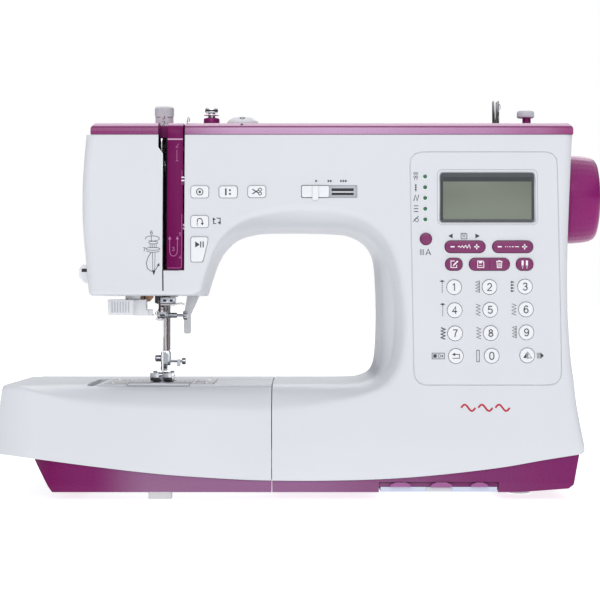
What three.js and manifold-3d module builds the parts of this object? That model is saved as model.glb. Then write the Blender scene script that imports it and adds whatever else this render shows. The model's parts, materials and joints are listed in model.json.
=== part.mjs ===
// Computerised free-arm sewing machine. Millimetres, +Z up, +X towards the handwheel, +Y to the back.
// The origin is at the bottom centre of the whole machine, on the surface that it stands on.
import * as THREE from "three";
import { mergeVertices } from "three/addons/utils/BufferGeometryUtils.js";
import Module from "manifold-3d";
const wasm = await Module();
wasm.setup();

// ---- driving dimensions ----
const BED_Z = 80.5; // sewing surface
const HEAD_Z = 144; // underside of the sewing head
const BODY_TOP_Z = 257.4; // top edge of the white shells
const TOP_Z = 266.4; // top face of the coloured top cover
const BOTTOM_Z = 4.8; // underside of the base
const REAR_Y = 50; // back of arm and tower
const BED_REAR_Y = 98; // back of the bed
const SPLIT_Y = -18; // joint plane of front and rear shell
const SEAM_X = -21.6; // joint plane of body and extension table
const WALL = 3.5;
const SHAFT_Z = 215.2; // handwheel axis
const SHAFT_Y = -18;
const NEEDLE = [-102.5, -33.5]; // needle axis
const PRESSER = [-101, -17]; // presser bar axis
const HOOK = [-102.5, -54.5]; // rotary hook axis
const ARM_Y = [-77, 7]; // free arm, front and back
const KEY_R = 5.1; // round keys
const GAP = 0.4;

// ---- helpers ----
const solid = (geo) => {
  const g = geo.index ? geo.toNonIndexed() : geo.clone();
  g.deleteAttribute("normal");
  g.deleteAttribute("uv");
  const m = mergeVertices(g, 1e-4);
  const triVerts = new Uint32Array(m.index.array);
  const make = () =>
    new wasm.Manifold(
      new wasm.Mesh({
        numProp: 3,
        vertProperties: new Float32Array(m.attributes.position.array),
        triVerts,
      }),
    );
  let s = make();
  if (s.volume() < 0) {
    for (let i = 0; i < triVerts.length; i += 3)
      [triVerts[i + 1], triVerts[i + 2]] = [triVerts[i + 2], triVerts[i + 1]];
    s = make();
  }
  return s;
};
const geometry = (s) => {
  const m = s.getMesh();
  const g = new THREE.BufferGeometry();
  g.setAttribute("position", new THREE.BufferAttribute(new Float32Array(m.vertProperties), 3));
  g.setIndex(new THREE.BufferAttribute(new Uint32Array(m.triVerts), 1));
  g.computeVertexNormals();
  return g;
};
const shapeOf = (pts) => new THREE.Shape(pts.map((p) => new THREE.Vector2(p[0], p[1])));
const rawExtrude = (pts, depth, steps = 1) =>
  new THREE.ExtrudeGeometry(shapeOf(pts), { depth, steps, bevelEnabled: false, curveSegments: 8 });
// outline in (x, y), from z0 to z1
const prismZ = (pts, z0, z1) => solid(rawExtrude(pts, z1 - z0).translate(0, 0, z0));
// outline in (x, z), from y0 to y1
const prismY = (pts, y0, y1) => solid(rawExtrude(pts, y1 - y0).rotateX(Math.PI / 2).translate(0, y1, 0));
// outline in (y, z), from x0 to x1
const toX = new THREE.Matrix4().makeBasis(
  new THREE.Vector3(0, 1, 0),
  new THREE.Vector3(0, 0, 1),
  new THREE.Vector3(1, 0, 0),
);
const prismX = (pts, x0, x1) => solid(rawExtrude(pts, x1 - x0).applyMatrix4(toX).translate(x0, 0, 0));
const box = (x0, x1, y0, y1, z0, z1) =>
  solid(new THREE.BoxGeometry(x1 - x0, y1 - y0, z1 - z0).translate((x0 + x1) / 2, (y0 + y1) / 2, (z0 + z1) / 2));
const cylZ = (x, y, r, z0, z1, n = 16) =>
  solid(new THREE.CylinderGeometry(r, r, z1 - z0, n).rotateX(Math.PI / 2).translate(x, y, (z0 + z1) / 2));
const cylX = (y, z, r, x0, x1, n = 16) =>
  solid(new THREE.CylinderGeometry(r, r, x1 - x0, n).rotateZ(Math.PI / 2).translate((x0 + x1) / 2, y, z));
const cylY = (x, z, r, y0, y1, n = 12) =>
  solid(new THREE.CylinderGeometry(r, r, y1 - y0, n).translate(x, (y0 + y1) / 2, z));
// profile of (radius, height) pairs turned about a vertical axis
const latheZ = (x, y, prof, n = 20) =>
  solid(
    new THREE.LatheGeometry(
      prof.map((p) => new THREE.Vector2(p[0], p[1])),
      n,
    )
      .rotateX(Math.PI / 2)
      .translate(x, y, 0),
  );
const latheX = (y, z, prof, n = 28) =>
  solid(
    new THREE.LatheGeometry(
      prof.map((p) => new THREE.Vector2(p[0], p[1])),
      n,
    )
      .rotateZ(-Math.PI / 2)
      .translate(0, y, z),
  );
const roundRect = (x0, z0, x1, z1, r, n = 2) => {
  const out = [];
  const corner = (cx, cz, a0) => {
    for (let i = 0; i <= n; i++) {
      const a = a0 + (i / n) * (Math.PI / 2);
      out.push([cx + r * Math.cos(a), cz + r * Math.sin(a)]);
    }
  };
  corner(x1 - r, z1 - r, 0);
  corner(x0 + r, z1 - r, Math.PI / 2);
  corner(x0 + r, z0 + r, Math.PI);
  corner(x1 - r, z0 + r, 1.5 * Math.PI);
  return out;
};
// closed skin through rings of [x, y, z] points, ordered from back to front
const loft = (rings) => {
  const first = rings[0].map((p) => [p[0], p[2]]);
  const key = (a, b) => Math.round(a * 1000) + "_" + Math.round(b * 1000);
  const where = new Map(first.map((p, i) => [key(p[0], p[1]), i]));
  const g = rawExtrude(first, rings.length - 1, rings.length - 1);
  const pos = g.getAttribute("position");
  for (let i = 0; i < pos.count; i++) {
    const ring = rings[Math.round(pos.getZ(i))];
    const p = ring[where.get(key(pos.getX(i), pos.getY(i)))];
    pos.setXYZ(i, p[0], p[1], p[2]);
  }
  return solid(g);
};
const minus = (s, ...rest) => rest.reduce((a, b) => a.subtract(b), s);
const plus = (s, ...rest) => rest.reduce((a, b) => a.add(b), s);

// ---- shape of the front: depth of the face as a function of height ----
const FRONT = [
  [-93, 8], [-96, 22], [-97.7, 36], [-98, 48], [-97.5, 75], [-96.4, 110],
  [-94.5, 150], [-92, 190], [-89, 230], [-86.5, BODY_TOP_Z],
];
const faceY = (z) => {
  for (let i = 1; i < FRONT.length; i++)
    if (z <= FRONT[i][1] || i === FRONT.length - 1) {
      const [a, b] = [FRONT[i - 1], FRONT[i]];
      return a[0] + ((b[0] - a[0]) * (z - a[1])) / (b[1] - a[1]);
    }
};
// curved lower edge of the white shells
const ARC = [
  [-206.8, 31.4], [-191.3, 29.8], [-145, 23.6], [-98.1, 18.2], [-51.1, 14.9], [SEAM_X, 13.8],
  [15.8, 13.7], [55.4, 14.8], [92, 17.5], [137.6, 22.9], [168, 28.2], [195.2, 32.6],
];
const ARC_R = ARC.slice(6);
// edge of the throat opening, from the head round the arm and tower to the bed
const INNER = [
  [-72.9, 143.8], [-69.7, 154.7], [-64.3, 169.7], [-57.9, 179.4], [-48.5, 187.2], [-33, 191.4],
  [-14.2, 192.1], [5, 192], [24, 191.4], [36, 189.8], [47.5, 183.4], [54.4, 171.9],
  [56.6, 150], [57, 125], [56, 101], [53, 88.5], [45, 83], [31.8, 80.9], [0.7, 80.6], [SEAM_X, 80.6],
  [-51.1, 80.6], [-104.9, 80.6], [-145.2, 80.6], [-172, 80.6], [-200.4, 80.6],
];
// crease where the flare of the throat opening meets the front face
const CREASE = [
  [-71.1, 146.6], [-65.8, 163.9], [-59.1, 180.3], [-49.4, 191.9], [-36.9, 199.1], [-22.5, 202.9],
  [-8, 205.3], [6.4, 205.5], [25.7, 204.4], [44.9, 197.6], [59.4, 185.1], [67.1, 165.9],
  [70.9, 145.7], [72.4, 121.6], [69, 96.5], [59.4, 81.1], [46.3, 75.3], [31.1, 70.7], [0.7, 65.4], [SEAM_X, 63.2],
  [-51.1, 62.9], [-104.9, 64.5], [-145.2, 67.9], [-172, 72.6], [-200.4, 80.5],
];
const MIDDLE = [
  [-71.6, 145], [-67, 160], [-61, 176], [-53, 185.2], [-42, 191.6], [-27.5, 194.7],
  [-13, 195.7], [6.5, 195.2], [25.9, 194.2], [40, 190.6], [51, 182], [59.5, 168.5],
  [64, 147], [65, 122], [62.5, 100], [56, 87.5], [45.5, 80.6], [31, 78.4], [0.7, 76.8], [SEAM_X, 76.4],
  [-51.1, 76.2], [-104.9, 76.7], [-145.2, 77.6], [-172, 78.8], [-200.4, 80.55],
];
const AIR = [[-236, 82], [-236, 143.7], [-78, 143.7]];
const ring = (pts, y) =>
  [...pts, ...AIR].map((p) => [p[0], typeof y === "function" ? y(p[1]) : y, p[1]]);
const grow = (pts, d) =>
  pts.map(([x, z], i) => {
    if (i >= 17) return [x, z];
    const l = Math.hypot(x, z - 135);
    return [x + (d * x) / l, z + (d * (z - 135)) / l];
  });
const scoop = loft([
  ring(INNER, 70),
  ring(INNER, REAR_Y + 1),
  ring(grow(INNER, 1.5), (z) => faceY(z) + 28),
  ring(MIDDLE, (z) => faceY(z) + 13),
  ring(CREASE, (z) => faceY(z)),
  ring(CREASE, -112),
]);

// ---- white shells of head, arm, tower and bed ----
const HEAD_LEFT = [[-150.3, HEAD_Z], [-153.1, 172.4], [-155.2, 197.2], [-155.2, 226.9], [-153.1, BODY_TOP_Z]];
const RIGHT = [
  [191.4, BODY_TOP_Z], [190.3, 242.5], [187.2, 180.9], [186.6, 139.2], [188.5, 102.5],
  [190.9, 83.8], [192.5, 68.8], [195, 54.3], [198.5, 36.1], [197.5, 33.5],
];
const bodyOutline = [
  ...HEAD_LEFT,
  ...RIGHT,
  ...[...ARC_R].reverse(),
  [SEAM_X + 0.3, 13.8],
  [SEAM_X + 0.3, BED_Z],
  [31.8, BED_Z],
  [44.5, 82],
  ...INNER.slice(0, 16).reverse().map(([x, z]) => {
    const l = Math.hypot(x, z - 135);
    return [x - (1.2 * x) / l, Math.max(HEAD_Z, z - (1.2 * (z - 135)) / l)];
  }).slice(0, 15),
  [-74.5, HEAD_Z],
];
const cavityOutline = [
  [-146.3, 147.5], [-76, 147.5], [-70, 166], [-63, 183], [-52, 196], [-38, 203], [-8, 209],
  [26, 208.5], [47, 201.5], [63, 188], [71, 167], [75, 146], [76.5, 121], [73, 94], [62, 76.5],
  [47, 70.5], [31, 66], [0, 60.5], [-17.6, 59], [-17.6, 5], [191.5, 5], [193.5, 37], [188.5, 68],
  [184.5, 102], [182.6, 139], [183, 181], [186, 242], [187, 262], [-149.5, 262], [-151.2, 227],
  [-151.2, 197], [-149, 172],
];
const frontProfile = [...FRONT, [SPLIT_Y - 0.15, BODY_TOP_Z], [SPLIT_Y - 0.15, 8]];
const frontHollow = [...FRONT.map(([y, z]) => [y + WALL, z < 10 ? 0 : z]), [-80, 266], [SPLIT_Y + 2, 266], [SPLIT_Y + 2, 0]];
const rearProfile = [
  [SPLIT_Y + 0.15, 8], [94, 8], [97, 25], [BED_REAR_Y, 45], [97, 70], [92, 77], [84, BED_Z], [54, BED_Z],
  [REAR_Y, 85], [REAR_Y, 250], [49.4, BODY_TOP_Z], [SPLIT_Y + 0.15, BODY_TOP_Z],
];
const rearHollow = [
  [SPLIT_Y - 2, 0], [90.5, 0], [93.5, 25], [94.5, 45], [93.5, 68], [88, 75], [82, 77], [50, 77],
  [46.5, 84], [46.5, 262], [SPLIT_Y - 2, 262],
];
let frontCover = prismY(bodyOutline, -110, 0).intersect(prismX(frontProfile, -170, 220));
let rearCover = prismY(bodyOutline, -60, 110).intersect(prismX(rearProfile, -170, 220));
frontCover = minus(frontCover, scoop, prismY(cavityOutline, -110, 0).intersect(prismX(frontHollow, -170, 220)));
// in the bed the rear shell is hollow up to the sewing surface
const rearBedCavity = [[-17.6, 77], [60, 77], [60, 5], [-17.6, 5]];
rearCover = minus(
  rearCover,
  scoop,
  plus(prismY(cavityOutline, -60, 110), prismY(rearBedCavity, -60, 110)).intersect(prismX(rearHollow, -170, 220)),
);
const shared = [
  box(-28, -10, -73, 4.6, 38, 74), // free arm root passes through the side of the base
  box(-112, -91, -46, -6, 140, 150), // needle bar and presser bar
  box(-134, -113, -50, -30, 140, 150), // needle threader rod
  box(-91, -73, -6, 21.5, 140, 150), // presser foot lifter
  cylX(SHAFT_Y, SHAFT_Z, 7, 180, 200, 20), // main shaft
];
frontCover = minus(frontCover, ...shared);
rearCover = minus(rearCover, ...shared, box(180, 205, 21.4, 34.6, 61.4, 74.6));

// ---- controls on the front: name, outline in (x, z) ----
const rect = (x0, z0, x1, z1, r = 1.8) => ({ x0, z0, x1, z1, r });
const controls = {
  needle_updown_button: rect(-78.4, 212.6, -66.1, 220.8),
  needle_position_button: rect(-58.6, 212.6, -45.8, 220.8),
  thread_cut_button: rect(-38.3, 212.8, -25.9, 221),
  reverse_button: rect(-78.4, 191.6, -66.1, 199.8),
  width_rocker: rect(100.1, 173.8, 128.5, 182.2, 2.4),
  length_rocker: rect(133.5, 173.8, 162, 182.2, 2.4),
  edit_button: rect(100.4, 161.4, 112.3, 170, 2),
  memory_rocker: rect(117.1, 161.4, 145.5, 170, 2.4),
  twin_needle_button: rect(150.1, 161.4, 162, 170, 2),
};
const keys = {
  key_1: [106.5, 149.6], key_2: [131.3, 149.7], key_3: [156.2, 150],
  key_4: [106.8, 133.4], key_5: [131.7, 133.7], key_6: [156.8, 134],
  key_7: [107, 117.2], key_8: [132, 117.4], key_9: [157, 117.9],
  key_back: [107.5, 101.3], key_0: [132.6, 101.5], key_mirror: [157.5, 101.8],
  mode_button: [86.8, 183.5],
};
const START = [[-78.4, 184.7], [-66.5, 184.7], [-66.9, 178], [-68.2, 172], [-70.3, 168.4], [-73, 166.7], [-77, 166.7], [-78.4, 168.5]];
const pieces = {};
const grown = (c, d) => roundRect(c.x0 - d, c.z0 - d, c.x1 + d, c.z1 + d, c.r + d);
for (const [name, c] of Object.entries(controls)) {
  const y = faceY((c.z0 + c.z1) / 2);
  frontCover = frontCover.subtract(prismY(grown(c, GAP), y - 6, y + 8));
  pieces[name] = prismY(grown(c, 0), y - 1, y + 4);
}
for (const [name, [x, z]] of Object.entries(keys)) {
  const r = name === "mode_button" ? 4.1 : KEY_R;
  const y = faceY(z);
  frontCover = frontCover.subtract(cylY(x, z, r + GAP, y - 6, y + 8, 14));
  pieces[name] = cylY(x, z, r, y - 1, y + 4, 14);
}
{
  const y = faceY(176);
  const wide = START.map(([x, z]) => [x + (x > -72.5 ? GAP : -GAP), z + (z > 176 ? GAP : -GAP)]);
  frontCover = frontCover.subtract(prismY(wide, y - 6, y + 8));
  pieces.start_stop_button = prismY(START, y - 1, y + 4);
}
// speed slider: knob in a shallow track
{
  const y = faceY(217);
  frontCover = minus(
    frontCover,
    prismY(roundRect(-0.9, 212.4, 38.7, 221.6, 1.2), y - 6, y + 2.4),
    box(8, 30.2, y - 2, y + 8, 215.8, 218.2),
  );
  pieces.speed_slider = plus(
    prismY(roundRect(-0.4, 213, 18.6, 221, 1), y - 0.6, y + 2),
    prismY(roundRect(7, 210.9, 11.3, 221, 0.8), y - 2.4, y - 0.9),
    box(7.2, 11.1, y - 1, y + 0.5, 213.4, 220.6),
    box(8.3, 10.3, y, y + 7, 216, 218),
    box(6.3, 12.3, y + 4.8, y + 7, 213.6, 220.4),
  );
}
// display
{
  const y = faceY(213);
  frontCover = frontCover.subtract(prismY(roundRect(97.6, 196, 163, 230, 1.5), y - 6, y + 10));
  pieces.lcd_window = box(98.5, 162.1, y + 1.4, y + 4.4, 196.9, 229.1);
}
// thread channel and the coloured cover beside it
frontCover = frontCover.subtract(
  prismY([[-98.5, 161.4], [-98.5, 244], [-101.8, 248.5], [-101.8, 270], [-83, 270], [-83, 161.4]], -110, -60),
);
{
  const skin = (d, z0, z1) => [
    [faceY(z0) - 0.9 + d, z0], [faceY(200) - 0.9 + d, 200], [faceY(250) - 0.9 + d, 250],
    [-87.6 + d, 260], [-86.4 + d, 264 - d], [-82, TOP_Z - d], [-59, TOP_Z - d], [-59, z1],
  ];
  pieces.thread_slot_cover = prismX([...skin(0, 162, 162)], -96.6, -85.4).subtract(
    prismX([[faceY(162) + 2, 155], [faceY(250) + 2, 250], [-84, 262], [-50, 262], [-50, 155]], -94.8, -87.2),
  );
}
pieces.front_cover = frontCover;
pieces.rear_cover = rearCover;

// ---- top cover with handle recess, spool recess and winder slot ----
{
  const profile = [
    [-87.4, 257.7], [-87.6, 260], [-86.4, 263.8], [-82, 265.9], [-70, TOP_Z], [40, TOP_Z], [47, 264], [50, 257.7],
  ];
  let top = prismX(profile, -170, 220).intersect(prismY(roundRect(-149.6, 257.7, 191.2, TOP_Z, 3), -110, 110));
  top = top.subtract(
    plus(box(-146, -3, -54, 40, 255, 262.6), box(-78, 130, -83, -45, 255, 262.6), box(120, 134, -46, 4, 255, 262.6),
      box(154, 187, -83, 44, 255, 262.6)),
  );
  top = plus(top, box(-9, 139, 5, 45.6, 246.5, 262), box(14, 118, -42, 4, 247.5, 262));
  top = minus(
    top,
    box(-5, 135, 9, 43, 249.5, 280),
    box(18, 114, -38, 0, 250.5, 280),
    box(139, 152, -31.5, -24.5, 240, 280),
    box(-101.9, -82.9, -110, -56, 240, 280),
    cylZ(NEEDLE[0], PRESSER[1], 3.2, 240, 280, 12),
  );
  pieces.top_cover = top;
  // U-shaped handle folded flat, hinged along its front ends
  pieces.carry_handle = prismZ(
    [[0, 13], [12, 13], [12, 29], [118, 29], [118, 13], [130, 13], [130, 36], [127, 40], [3, 40], [0, 36]],
    252, 261,
  );
  pieces.spool_pin = plus(cylX(-19, 259, 2.8, 20.5, 88, 10), cylX(-19, 259, 7, 18.5, 21, 14));
}

// ---- base ----
{
  const outline = [
    [SEAM_X + 0.3, BOTTOM_Z], [150, BOTTOM_Z], [187.4, 7.8], [190.8, 10.6], [194.4, 32.1],
    ...[...ARC_R.slice(0, -1)].reverse().map(([x, z]) => [x, z - 0.4]),
    [SEAM_X + 0.3, 13.4],
  ];
  const profile = [[-88, BOTTOM_Z], [-92.6, 12], [-94.5, 36], [94.5, 36], [92.6, 12], [88, BOTTOM_Z]];
  const inner = [[-84, 8], [-89, 14], [-91, 60], [91, 60], [89, 14], [84, 8]];
  let base = prismY(outline, -110, 110).intersect(prismX(profile, -60, 220));
  const hollow = box(SEAM_X + 3.5, 188, -100, 100, 8, 60).intersect(prismX(inner, -60, 220));
  base = base.subtract(hollow.subtract(box(49, 143, -110, -2, 0, 15.5)));
  base = minus(base, box(53.9, 138, -110, -6, 0, 12.6));
  for (const [x, y] of [[157.7, -44], [157.7, 76], [2, -20], [2, 76]])
    base = base.add(cylZ(x, y, 8, 0, 9.5, 16));
  pieces.base_tray = base;
  pieces.stitch_card_tray = plus(box(55, 137, -89, -10, 5.6, 7.6), box(55, 137, -90.5, -87, 5.6, 9));
}

// ---- extension table round the free arm ----
{
  const outline = [
    [SEAM_X - 0.3, BED_Z], [-204, BED_Z], [-210.2, 79.9], [-212.3, 78], [-213.5, 71.8], [-215.6, 57.1],
    [-218.7, 44.4], [-219.8, 40.1], [-218.6, 38.3], [-218.4, 32.5], [-214, 31.6],
    ...ARC.slice(0, 5), [SEAM_X - 0.3, 13.9],
  ];
  const profile = [
    ...FRONT.slice(0, 6).map(([y, z]) => [y, z]), [-96.4, 120], [96, 120], [92, 77], [97, 70], [BED_REAR_Y, 45], [97, 25], [94, 8],
  ];
  const rearTop = [[-110, 0], [110, 0], [110, 60], [97, 70], [92, 77], [84, BED_Z], [-110, BED_Z]];
  const plan = (x0, y1, r) => {
    const out = [[0, -y1], [0, y1]];
    for (let i = 0; i <= 5; i++) {
      const a = Math.PI / 2 + (i / 5) * (Math.PI / 2);
      out.push([x0 + r + r * Math.cos(a), y1 - r + r * Math.sin(a)]);
    }
    for (let i = 0; i <= 5; i++) {
      const a = Math.PI + (i / 5) * (Math.PI / 2);
      out.push([x0 + r + r * Math.cos(a), -y1 + r + r * Math.sin(a)]);
    }
    return out;
  };
  const slot = box(-153, 0, ARM_Y[0] - 1.2, ARM_Y[1] + 1.2, -10, 120);
  const table = prismY(outline, -110, 110)
    .intersect(prismX([...FRONT.slice(0, 5), [-97, 120], [110, 120], [110, 8]], -240, 0))
    .intersect(prismX([[-110, 0], [93, 0], [97, 25], [BED_REAR_Y, 45], [97, 70], [92, 77], [84, 82], [-110, 82]], -240, 0))
    .intersect(prismZ(plan(-219.9, 98.1, 34), 0, 100));
  const hollow = plus(
    prismZ(plan(-211, 92, 28), 0, 57).subtract(box(-156.5, 0, ARM_Y[0] - 4.4, ARM_Y[1] + 4.4, -10, 120)).subtract(
      box(SEAM_X - 3.6, 5, -120, 120, -10, 120)),
    box(-206, SEAM_X - 3.6, 12, 88, 40, 76),
    box(-205, -157, -60, 60, 40, 76),
  );
  pieces.extension_table = minus(table, scoop, slot, hollow);
  // coloured skirt and floor below the white part
  const skirtOutline = [
    [SEAM_X - 0.3, BOTTOM_Z], [-176.5, BOTTOM_Z], [-190.8, 29.3],
    ...ARC.slice(2, 5).map(([x, z]) => [x, z - 0.4]), [SEAM_X - 0.3, 13.4],
  ];
  const skirtProfile = [[-88, BOTTOM_Z], [-92.6, 12], [-94.5, 36], [94.5, 36], [92.6, 12], [88, BOTTOM_Z]];
  let skirt = prismY(skirtOutline, -110, 110)
    .intersect(prismX(skirtProfile, -240, 0))
    .intersect(prismZ(plan(-196, 94.6, 32), 0, 100));
  const tub = prismZ(plan(-186, 90.5, 28), 7.6, 90)
    .subtract(box(-156.5, 0, ARM_Y[0] - 4.4, ARM_Y[1] + 4.4, -10, 120))
    .subtract(box(SEAM_X - 3.6, 5, -120, 120, -10, 120))
    .intersect(prismX([[-85, 7.6], [-89.5, 14], [-91, 60], [91, 60], [89.5, 14], [85, 7.6]], -240, 0));
  skirt = minus(skirt, tub, slot);
  skirt = plus(skirt, box(-108.7, -92.3, -88, -79, 0, 7.2), cylZ(-100.5, 72, 8, 0, 7.2, 16), cylZ(-168, -20, 7, 0, 7.2, 16));
  pieces.extension_table_skirt = skirt;
}

// ---- free arm, needle plate, hook ----
{
  const arm = prismY(
    [[SEAM_X - 0.3, 34], [-146, 34], [-149, 37], [-150.6, 46], [-150.6, 76], [-149, 79.4], [-146, BED_Z], [SEAM_X - 0.3, BED_Z]],
    ARM_Y[0], ARM_Y[1],
  );
  pieces.free_arm_cover = minus(
    arm,
    box(-148, 0, ARM_Y[0] + 2.4, ARM_Y[1] - 2.4, 36.4, 78),
    box(-141.8, -63.5, -73.5, 4.5, 79.2, 90),
    box(-137, -68, -70.5, 1.5, 70, 90),
    box(-125, -80, -80, -70, 79.2, 90),
  );
  const hole = (x0, x1, y0, y1) => box(x0, x1, y0, y1, 70, 90);
  pieces.needle_plate = minus(
    box(-141.4, -63.9, -73.1, 4.1, 79.6, 80.9),
    hole(-125, -80, -76, -39.5),
    hole(-111.7, -107.8, -38.5, -16),
    hole(-97.2, -93.3, -38.5, -16),
    hole(-106, -99, -35, -32),
  );
  pieces.bobbin_cover = plus(box(-124.5, -80.5, -76.4, -40, 79.6, 80.9), box(-108, -97, -76.4, -74.6, 79.6, 81.3));
  pieces.feed_dog = plus(
    box(-113, -92, -30, -18, 72.5, 76.5),
    box(-111, -108.5, -34.4, -17, 76, 80.5),
    box(-96.5, -94, -34.4, -17, 76, 80.5),
  );
  pieces.rotary_hook = latheZ(HOOK[0], HOOK[1], [
    [0, 42], [5, 42], [5, 50], [18, 52], [19.6, 56], [19.6, 74.5], [17.6, 74.5], [17.6, 60], [0, 60],
  ], 24);
  pieces.bobbin = latheZ(HOOK[0], HOOK[1], [
    [3, 61.5], [10.2, 61.5], [10.2, 62.9], [5.5, 62.9], [5.5, 71.6], [10.2, 71.6], [10.2, 73], [3, 73], [3, 61.5],
  ], 16);
}

// ---- needle bar and presser ----
{
  const [nx, ny] = NEEDLE;
  pieces.needle_bar = plus(cylZ(nx, ny, 3.1, 127, 236, 14), box(-107, -98.8, ny - 4.2, ny + 4.2, 126.6, 132.2));
  pieces.needle = latheZ(nx, ny, [[0, 82.6], [0.4, 84.5], [0.6, 88], [0.6, 114], [1.1, 116], [1.1, 126.3], [0, 126.3]], 10);
  pieces.needle_clamp_screw = plus(cylX(ny, 129.4, 1.9, -98.4, -92, 10), cylX(ny, 129.4, 1, -92.5, -87, 8), cylX(ny, 129.4, 3.4, -87.5, -84.4, 12));
  const [px, py] = PRESSER;
  pieces.presser_bar = cylZ(px, py, 3, 103.6, 206, 14);
  pieces.foot_holder = plus(
    box(-105, -97.6, py - 5, py + 5, 92, 103.3),
    box(-104.4, -99.8, -29, -12.5, 88.4, 93),
    cylX(py, 97.2, 2.6, -109.4, -104, 12),
    cylX(py, 93.6, 1, -98, -88, 8),
    cylX(py, 93.6, 2.6, -89.5, -86.4, 12),
  );
  pieces.presser_foot = minus(
    plus(
      prismX([[-50, 84.4], [-46.5, 81.4], [-24, 81.4], [-12, 83.4], [-12, 84.8], [-28, 84.8], [-44, 84.6], [-50, 86]], -110.4, -94.6),
      cylX(-21.5, 86.4, 0.9, -108, -97, 8),
      box(-110.4, -107.4, -27, -16, 83, 88.1), box(-97.6, -94.6, -27, -16, 83, 88.1),
    ),
    box(-106.6, -98.4, -36, -31, 70, 100),
    box(-103.9, -101.1, -60, -30, 70, 100),
  );
  pieces.presser_lifter = plus(
    prismY([[-86.5, 151.5], [-77.5, 151.5], [-77.5, 143.5], [-83.8, 129.5], [-83.8, 115.3], [-89, 115.3], [-89, 129.5], [-86.5, 143.5]], -1.5, 3.5),
    cylX(1, 151.5, 4, -86.5, -77.5, 12),
  );
  pieces.needle_threader = plus(
    box(-141.2, -122.2, -50, -32, 129.6, 141),
    box(-123, -112, -46, -36, 129.2, 141),
    box(-113, -109.4, -44, -40, 129.2, 134),
    box(-129, -118, -44, -36, 140, 182),
  );
}
// take-up lever, pivoting inside the head
pieces.take_up_lever = plus(
  prismX([[-12, 226], [-16, 226], [-50, 241.5], [-51.5, 238], [-14, 218.5], [-12, 218]], -97.8, -95.8),
  box(-101.3, -95.8, -51.4, -48.2, 237.6, 241),
  prismX([[-48.2, 241], [-48.2, 237.6], [-52, 237.6], [-66.5, 242.5], [-74, 245.5], [-76.2, 249], [-76.2, 254.4], [-74, 256], [-71.3, 254.4], [-70.6, 250], [-64, 247.2]], -101.3, -99.6),
  cylX(-12, 222, 4, -97.8, -92, 12),
);
pieces.main_shaft = plus(
  cylX(SHAFT_Y, SHAFT_Z, 4.8, -88, 191.1, 14),
  cylX(SHAFT_Y, SHAFT_Z, 12.8, -90, -83, 20),
  cylX(SHAFT_Y, SHAFT_Z, 22, 160, 170, 24),
);
pieces.handwheel = latheX(SHAFT_Y, SHAFT_Z, [
  [0, 191.5], [30.4, 191.5], [32.3, 193], [32.7, 196], [32.7, 204], [31.9, 211], [30, 215.4], [24, 217.8], [12, 219.5], [0, 219.9],
], 36);
pieces.motor = plus(cylX(-50, 50, 24, 84, 148, 20), cylX(-50, 50, 3, 147, 163, 10), cylX(-50, 50, 7, 157, 169, 14));
// cast frame: column in the tower, upper beam in the arm, lower beam through the free arm
pieces.machine_frame = prismY(
  [[-140, 44], [138, 44], [138, 30], [150, 30], [150, 244], [-128, 244], [-128, 229], [112, 229], [118, 222], [118, 72], [110, 62], [-18, 62], [-140, 58]],
  -10, 3.6,
);

// ---- knobs on top ----
pieces.pressure_dial = plus(latheZ(-102.5, -17, [[0, 266.8], [6.7, 266.8], [6.7, 277], [7.1, 277.4], [7.1, 283], [6, 284.6], [0, 285.4]], 20),
  cylZ(-102.5, -17, 2.6, 250, 267, 10));
pieces.tension_dial = latheZ(-42.8, -62, [[0, 266.8], [11.2, 266.8], [10.8, 268.4], [8.6, 270.8], [5, 272.3], [0, 272.8]], 24);
pieces.winder_thread_guide = latheZ(-66.4, -38, [
  [0, 266.8], [5.6, 266.8], [5.8, 268], [5.5, 273.2], [3, 274], [3, 275], [5.2, 275.6], [5.2, 276.2], [3, 276.6], [4.6, 277.6], [4.6, 280.8], [4, 281.3], [0, 281.3],
], 18);
pieces.winder_spindle = latheZ(142.6, -28, [
  [0, 249], [2.4, 249], [2.4, 267], [3.6, 267], [3.6, 268.4], [2.6, 269.6], [2.6, 287], [2, 287.6], [0, 287.6],
], 14);
pieces.winder_stopper = plus(
  cylZ(165.4, -28, 3.1, 266.8, 275.5, 14),
  latheZ(164.6, -28, [[0, 274.8], [6, 274.8], [6.4, 275.6], [6.4, 279.4], [5.8, 280], [0, 280]], 20),
);
pieces.power_switch = prismY([[187, 62], [192.6, 62], [193.2, 65], [192.2, 68.5], [192.4, 74], [187, 74]], 22, 34);

// ---- materials and scene graph ----
const paint = (color, roughness, metalness = 0) => new THREE.MeshStandardMaterial({ color, roughness, metalness });
const LOOK = {
  white: paint(0xe6e8ec, 0.42),
  magenta: paint(0x8a1f6e, 0.34),
  grey: paint(0xb9bcc4, 0.45),
  steel: paint(0xc4c6ca, 0.25, 1),
  cast: paint(0x8f9296, 0.55, 0.9),
  glass: paint(0x6f756b, 0.2),
  clear: paint(0xcfd8de, 0.15),
  dark: paint(0x2b2d33, 0.5),
};
const looks = {
  magenta: ["top_cover", "base_tray", "thread_slot_cover", "extension_table_skirt", "handwheel", "mode_button",
    "width_rocker", "length_rocker", "edit_button", "memory_rocker", "twin_needle_button", "carry_handle"],
  steel: ["needle_plate", "needle_bar", "needle", "needle_clamp_screw", "presser_bar", "foot_holder", "presser_foot",
    "take_up_lever", "main_shaft", "winder_spindle", "feed_dog", "rotary_hook"],
  cast: ["machine_frame", "motor"],
  grey: ["presser_lifter", "stitch_card_tray", "winder_thread_guide"],
  glass: ["lcd_window"],
  clear: ["bobbin_cover", "bobbin"],
  dark: ["power_switch"],
};
const lookOf = (name) => LOOK[Object.keys(looks).find((k) => looks[k].includes(name)) ?? "white"];
const machine = new THREE.Group();
machine.name = "sewing_machine";
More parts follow.
